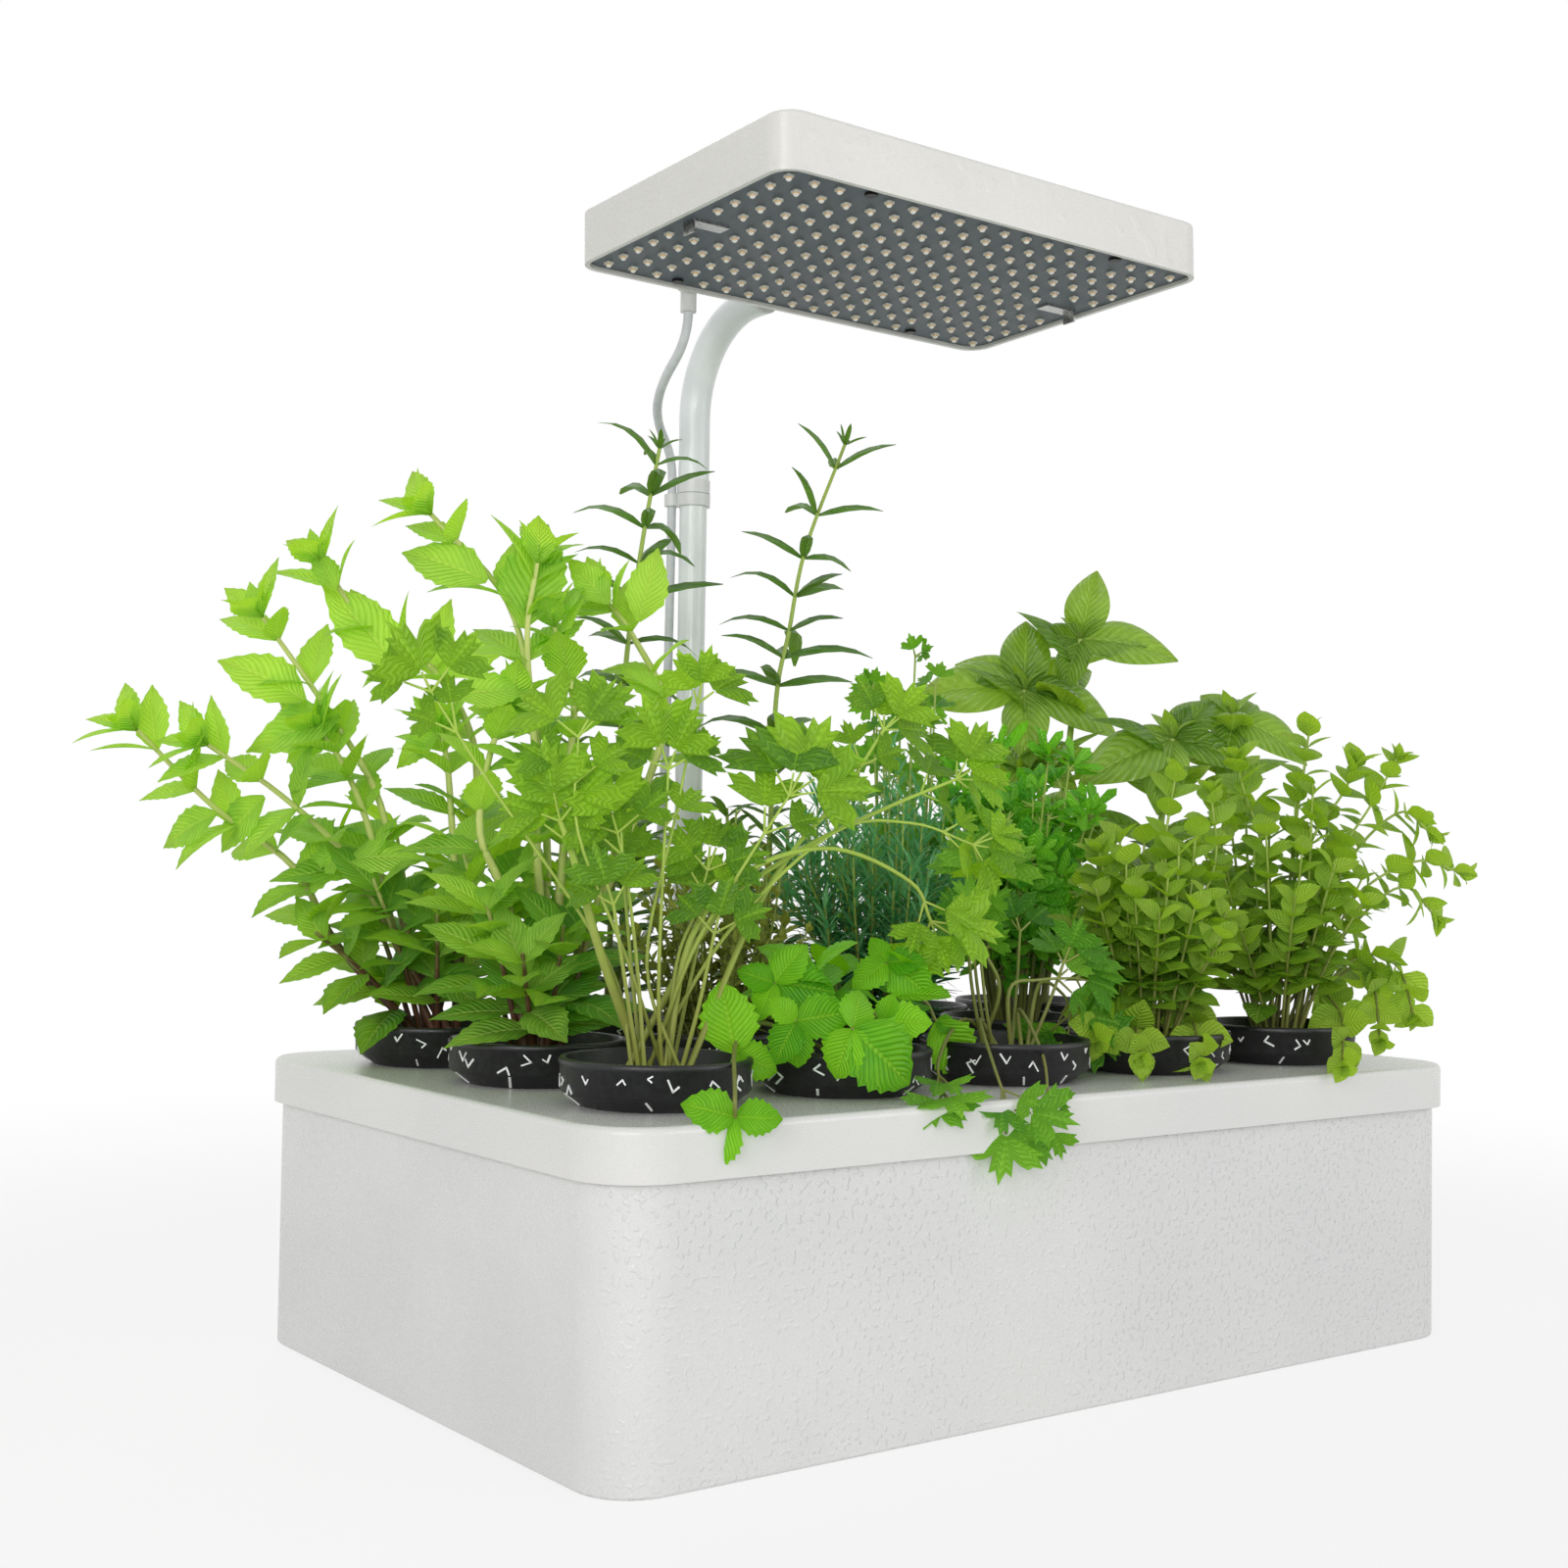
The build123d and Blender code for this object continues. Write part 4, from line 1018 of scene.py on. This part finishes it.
# Marks along stems and tips of leaves are pixels of the photograph, across and down.
# A third number brings a mark nearer to the camera, in millimetres.
# Low stems are a bearing in degrees, a reach and a rise in millimetres.
shoots = (
    ((345, 965), (300, 885), (220, 825), (140, 745)),
    ((400, 955), (355, 875), (285, 810), (212, 760)),
    ((415, 955), (388, 820), (333, 723), (268, 630)),
    ((470, 930), (486, 775), (442, 683), (383, 650), (329, 575)),
    ((465, 930), (458, 795), (450, 745)),
    ((405, 960), (378, 850), (350, 780), (325, 745)),
)
large_leaves = (
    ((406, 680), (335, 592)), ((311, 715), (229, 659)), ((347, 730), (248, 760)),
    ((270, 813), (209, 867)), ((221, 830), (149, 861)), ((443, 679), (455, 612)),
    ((448, 688), (523, 642)), ((356, 877), (434, 868)), ((345, 737), (284, 773)),
    ((450, 746), (393, 778)), ((350, 872), (284, 913)), ((342, 602), (318, 556)),
)
low_stems = (
    (200, 40, 66), (150, 46, 84), (240, 30, 56), (100, 34, 90), (60, 22, 70), (180, 56, 44), (20, 20, 90),
)
mint(Plant(3, 1, mint_skin, mint_stem, seed=31, skew=0.55), "mint_left", shoots, large_leaves, low_stems)

shoots = (
    ((555, 950), (558, 860), (545, 732), (518, 615), (440, 525)),
    ((550, 900), (545, 760), (538, 650), (548, 575)),
    ((620, 905), (662, 795), (680, 722), (645, 648), (620, 615)),
    ((572, 900), (582, 773), (585, 714), (566, 640)),
    ((520, 930), (490, 850), (500, 770), (520, 720)),
)
large_leaves = (
    ((497, 593), (405, 550)), ((534, 640), (554, 516)), ((622, 616), (580, 568)),
    ((651, 634), (674, 556)), ((464, 710), (541, 694)), ((558, 786), (600, 750)),
    ((599, 944), (523, 923)), ((540, 732), (477, 714)), ((676, 712), (632, 676)),
    ((676, 712), (703, 676)), ((482, 930), (538, 894)), ((545, 908), (540, 850)),
)
low_stems = (
    (200, 32, 60), (260, 26, 50), (300, 28, 70), (30, 24, 60), (150, 32, 84), (230, 36, 40), (100, 24, 76),
)
mint(Plant(2, 1, mint_skin, mint_stem, seed=32, skew=0.6), "mint_middle", shoots, large_leaves, low_stems)

shoot = ((630, 800), (640, 665), (656, 550), (673, 458))
low_stems = ((30, 16, 110), (150, 18, 130), (270, 16, 90))
rosemary(Plant(3, 2, rosemary_skin, green_stem, seed=33), "rosemary_left", shoot, low_stems)

shoot = ((785, 860), (792, 713), (805, 645), (822, 560), (862, 454))
low_stems = ((40, 16, 120), (160, 18, 100), (280, 16, 90))
rosemary(Plant(3, 3, rosemary_skin, green_stem, seed=34), "rosemary_right", shoot, low_stems)

# Each shoot of parsley has its marks, its stalk's radius, its leaves and their length
shoots = (
    (((613, 973), (588, 885), (572, 838)), 2.0, 4, 18),
    (((650, 985), (640, 900), (630, 850)), 0.9, 3, 17),
    (((672, 1018), (676, 900), (682, 785)), 0.9, 4, 18),
    (((704, 960), (765, 888), (850, 866), (929, 900), (950, 940)), 1.3, 4, 18),
    (((726, 940), (811, 871), (901, 826), (976, 795)), 1.3, 5, 18),
    (((766, 940), (811, 866), (856, 815), (902, 745)), 1.3, 5, 16),
    (((690, 985), (710, 930), (722, 888)), 0.8, 4, 16),
    (((705, 975), (755, 890), (805, 812)), 0.9, 5, 22),
    (((740, 955), (850, 850), (930, 840), (993, 862)), 0.9, 5, 17),
    (((640, 980), (590, 850), (590, 752)), 0.8, 3, 19),
    (((620, 980), (500, 800), (440, 706)), 0.8, 3, 18),
    (((660, 985), (690, 830), (712, 718)), 0.8, 3, 14),
)
low_stems = ((200, 26, 60), (90, 24, 70), (300, 22, 50), (20, 30, 60))
parsley(Plant(1, 1, parsley_skin, pale_stem, seed=11), "parsley_front", shoots, low_stems, low_size=15)

# Each rosette has its stem's marks and its leaves' tips
rosettes = (
    (((820, 1030, 8), (790, 1003, 18)), ((858, 1008), (822, 962), (752, 990), (770, 1040))),
    (((880, 1020, 8), (905, 982, 18)), ((888, 955), (942, 978), (955, 1018), (870, 1005))),
    (((830, 1030, 20), (812, 1042, 42)), ((785, 1018), (872, 1030), (811, 1094), (788, 1086))),
    (((860, 1035, 20), (870, 1050, 42)), ((845, 1105), (936, 1112), (880, 1008), (905, 1100))),
    (((880, 1030, 18), (900, 1042, 36)), ((948, 1040), (912, 1016), (930, 1080))),
    (((790, 1040), (755, 1045), (750, 1075)), ((798, 1094), (735, 1000), (765, 1095))),
    (((785, 1045), (752, 1060), (750, 1115), (750, 1140)), ((700, 1122), (716, 1194), (800, 1140))),
    (((900, 1030), (940, 1020), (955, 1042)), ((994, 1104), (980, 1050))),
)
low_stems = ((60, 20, 34), (130, 24, 32), (200, 22, 38), (330, 24, 36))
lemon_balm(Plant(1, 2, balm_skin, green_stem, seed=12), "lemon_balm", rosettes, low_stems)

shoots = (
    (((985, 1040), (958, 1080), (962, 1115)), 1.0, 3, 17),
    (((1000, 1040), (1015, 1090), (1030, 1132)), 1.0, 3, 17),
    (((1040, 1030), (1065, 1080), (1070, 1146)), 1.0, 2, 14),
    (((1060, 1005), (1085, 1015), (1092, 1035)), 1.0, 4, 19),
    (((1030, 1010), (1060, 1000), (1098, 998)), 1.0, 4, 17),
    (((1020, 1010), (1000, 960), (1003, 905)), 1.0, 4, 17),
)
low_stems = ((90, 20, 44), (200, 22, 40), (330, 24, 36), (30, 20, 48), (150, 16, 50))
parsley(Plant(1, 3, coriander_skin, green_stem, seed=13), "coriander_front", shoots, low_stems, low_size=13)

coriander_cup = Plant(3, 4, coriander_skin, green_stem, seed=35)
cut_leaf_bush(coriander_cup, "coriander_back", coriander_leaf, stems=18, spread=32, tall=178, size=10)
curled_cup = Plant(2, 4, curled_skin, green_stem, seed=24)
cut_leaf_bush(curled_cup, "parsley_curled", curled_leaf, stems=42, spread=38, tall=124, size=13)
savory_cup = Plant(2, 3, savory_skin, green_stem, seed=23)
fine_bush(savory_cup, "savory", savory_needle, stems=54, spread=48, tall=132, sets=17, size=18, whorl=3)
thyme_cup = Plant(2, 2, thyme_skin, green_stem, seed=22)
fine_bush(thyme_cup, "thyme", thyme_leaf, stems=44, spread=40, tall=100, sets=12, size=9, whorl=2)

rosettes = (
    (
        ((1042, 860), (1045, 704)),
        (
            (932, 686, 12), (1050, 618, -6), (1166, 724, 12),
            (1047, 770, 24), (975, 652, -22), (1120, 668, -20),
        ),
    ),
    (((1085, 820), (1102, 652)), ((1118, 576, -6), (1206, 655, 6), (1040, 640, -14), (1085, 700, 22))),
    (((1060, 900), (1060, 780)), ((1000, 790, 10), (1100, 800, 14), (1040, 740, -20), (1120, 760, -14))),
)
low_stems = ((20, 26, 90), (110, 24, 104), (200, 22, 70), (300, 24, 60))
basil(Plant(3, 5, basil_skin, green_stem, seed=36, skew=0.6), "basil_back", rosettes, low_stems)

rosettes = (
    (
        ((1180, 880), (1196, 754)),
        (
            (1291, 764, 12), (1213, 716, -8), (1136, 742, 0),
            (1100, 785, 12), (1180, 822, 24), (1240, 700, -20),
        ),
    ),
    (((1245, 860), (1258, 732)), ((1340, 760, 6), (1290, 706, -10), (1225, 700, -12), (1250, 790, 20))),
)
low_stems = ((10, 26, 74), (120, 24, 90), (220, 22, 60), (300, 22, 50))
basil(Plant(2, 5, basil_skin, green_stem, seed=25, skew=0.5), "basil_middle", rosettes, low_stems)

sprigs = (
    ((1180, 940), (1190, 850), (1200, 790)),
    ((1150, 960), (1130, 905), (1122, 870)),
    ((1165, 1020), (1158, 1040), (1165, 1078)),
    ((1200, 1020), (1218, 1045), (1224, 1085)),
    ((1140, 1020), (1122, 1035), (1118, 1064)),
    ((1215, 940), (1240, 880), (1236, 810)),
)
oregano(
    Plant(1, 4, oregano_skin, green_stem, seed=14, skew=0.3), "oregano_front", sprigs,
    stems=24, spread=36, tall=116,
)

sprigs = (
    ((1350, 900), (1400, 820), (1425, 775)),
    ((1370, 930), (1440, 880), (1490, 890)),
    ((1375, 950), (1430, 905), (1465, 935)),
    ((1380, 980), (1425, 985), (1442, 1035)),
    ((1340, 1010), (1368, 1035), (1370, 1088)),
    ((1320, 860), (1330, 790), (1336, 745)),
    ((1290, 880), (1270, 810), (1262, 775)),
    ((1365, 900), (1425, 830), (1460, 850)),
    ((1375, 990), (1400, 1000), (1408, 1060)),
    ((1330, 880), (1370, 810), (1385, 780)),
)
oregano(
    Plant(1, 5, oregano_skin, green_stem, seed=15, skew=0.24), "oregano_right", sprigs,
    stems=26, spread=44, tall=138,
)

# Light, floor and background
SEEN_RAYS = ("Is Camera Ray", "Is Glossy Ray", "Is Transmission Ray")
FILL_LIGHT, SHOWN_LIGHT = 0.5, 1.0
FLOOR_HALF, SHADOW_NEAR, SHADOW_FAR, WHITE_NEAR = 8.0, 0.35, 1.1, 0.75

world = bpy.data.worlds.new("studio")
scene.world = world
world.use_nodes = True
sky = world.node_tree.nodes
links = world.node_tree.links
rays = sky.new("ShaderNodeLightPath")
shown = rays.outputs[SEEN_RAYS[0]]
for ray in SEEN_RAYS[1:]:
    either = sky.new("ShaderNodeMath")
    either.operation = "MAXIMUM"
    links.new(shown, either.inputs[0])
    links.new(rays.outputs[ray], either.inputs[1])
    shown = either.outputs[0]
strength = sky.new("ShaderNodeMapRange")
strength.inputs["To Min"].default_value = FILL_LIGHT
strength.inputs["To Max"].default_value = SHOWN_LIGHT
links.new(shown, strength.inputs["Value"])
links.new(strength.outputs[0], sky["Background"].inputs["Strength"])
sky["Background"].inputs["Color"].default_value = (1, 1, 1, 1)


def floor():
    """Pale floor that keeps the soft shadow near the object and shows as white away from it."""
    skin = Finish("pale_floor", Base_Color=(0.86, 0.86, 0.86, 1), Roughness=0.9, Specular_IOR_Level=0.1)
    seen = skin.node("ShaderNodeLightPath", output=SEEN_RAYS[0])
    for ray in SEEN_RAYS[1:]:
        seen = seen.at_least(skin.node("ShaderNodeLightPath", output=ray))
    away = skin.node("ShaderNodeVectorMath", {"operation": "LENGTH"}, {0: skin.place()}, output="Value")
    share = skin.between(away, SHADOW_NEAR, SHADOW_FAR, WHITE_NEAR, 1.0) * seen
    skin.blend_with(share, "ShaderNodeEmission", Color=(1, 1, 1, 1), Strength=SHOWN_LIGHT)
    bm = bmesh.new()
    bmesh.ops.create_grid(bm, x_segments=2, y_segments=2, size=FLOOR_HALF)
    made = mesh_object("floor", bm, skin.material)


def soft_light(name, spot, target, size, power):
    lamp = bpy.data.lights.new(name, "AREA")
    lamp.shape = "DISK"
    lamp.size = size
    lamp.energy = power
    made = bpy.data.objects.new(name, lamp)
    made.location = spot
    made.rotation_euler = (Vector(target) - Vector(spot)).to_track_quat("-Z", "Y").to_euler()
    scene.collection.objects.link(made)


floor()
soft_light("front_left", (-1.9, -1.2, 0.8), target=(0, 0, 0.2), size=1.2, power=15)
soft_light("front_right", (1.2, -2.0, 0.7), target=(0, 0, 0.2), size=1.4, power=11.5)
soft_light("by_camera", (-1.05, -1.35, 0.45), target=(-0.1, -0.1, 0.2), size=0.3, power=3.5)
soft_light("top_back", (0.2, 1.4, 2.0), target=(0, 0, 0.25), size=1.4, power=9)
scene.view_settings.view_transform = "Standard"
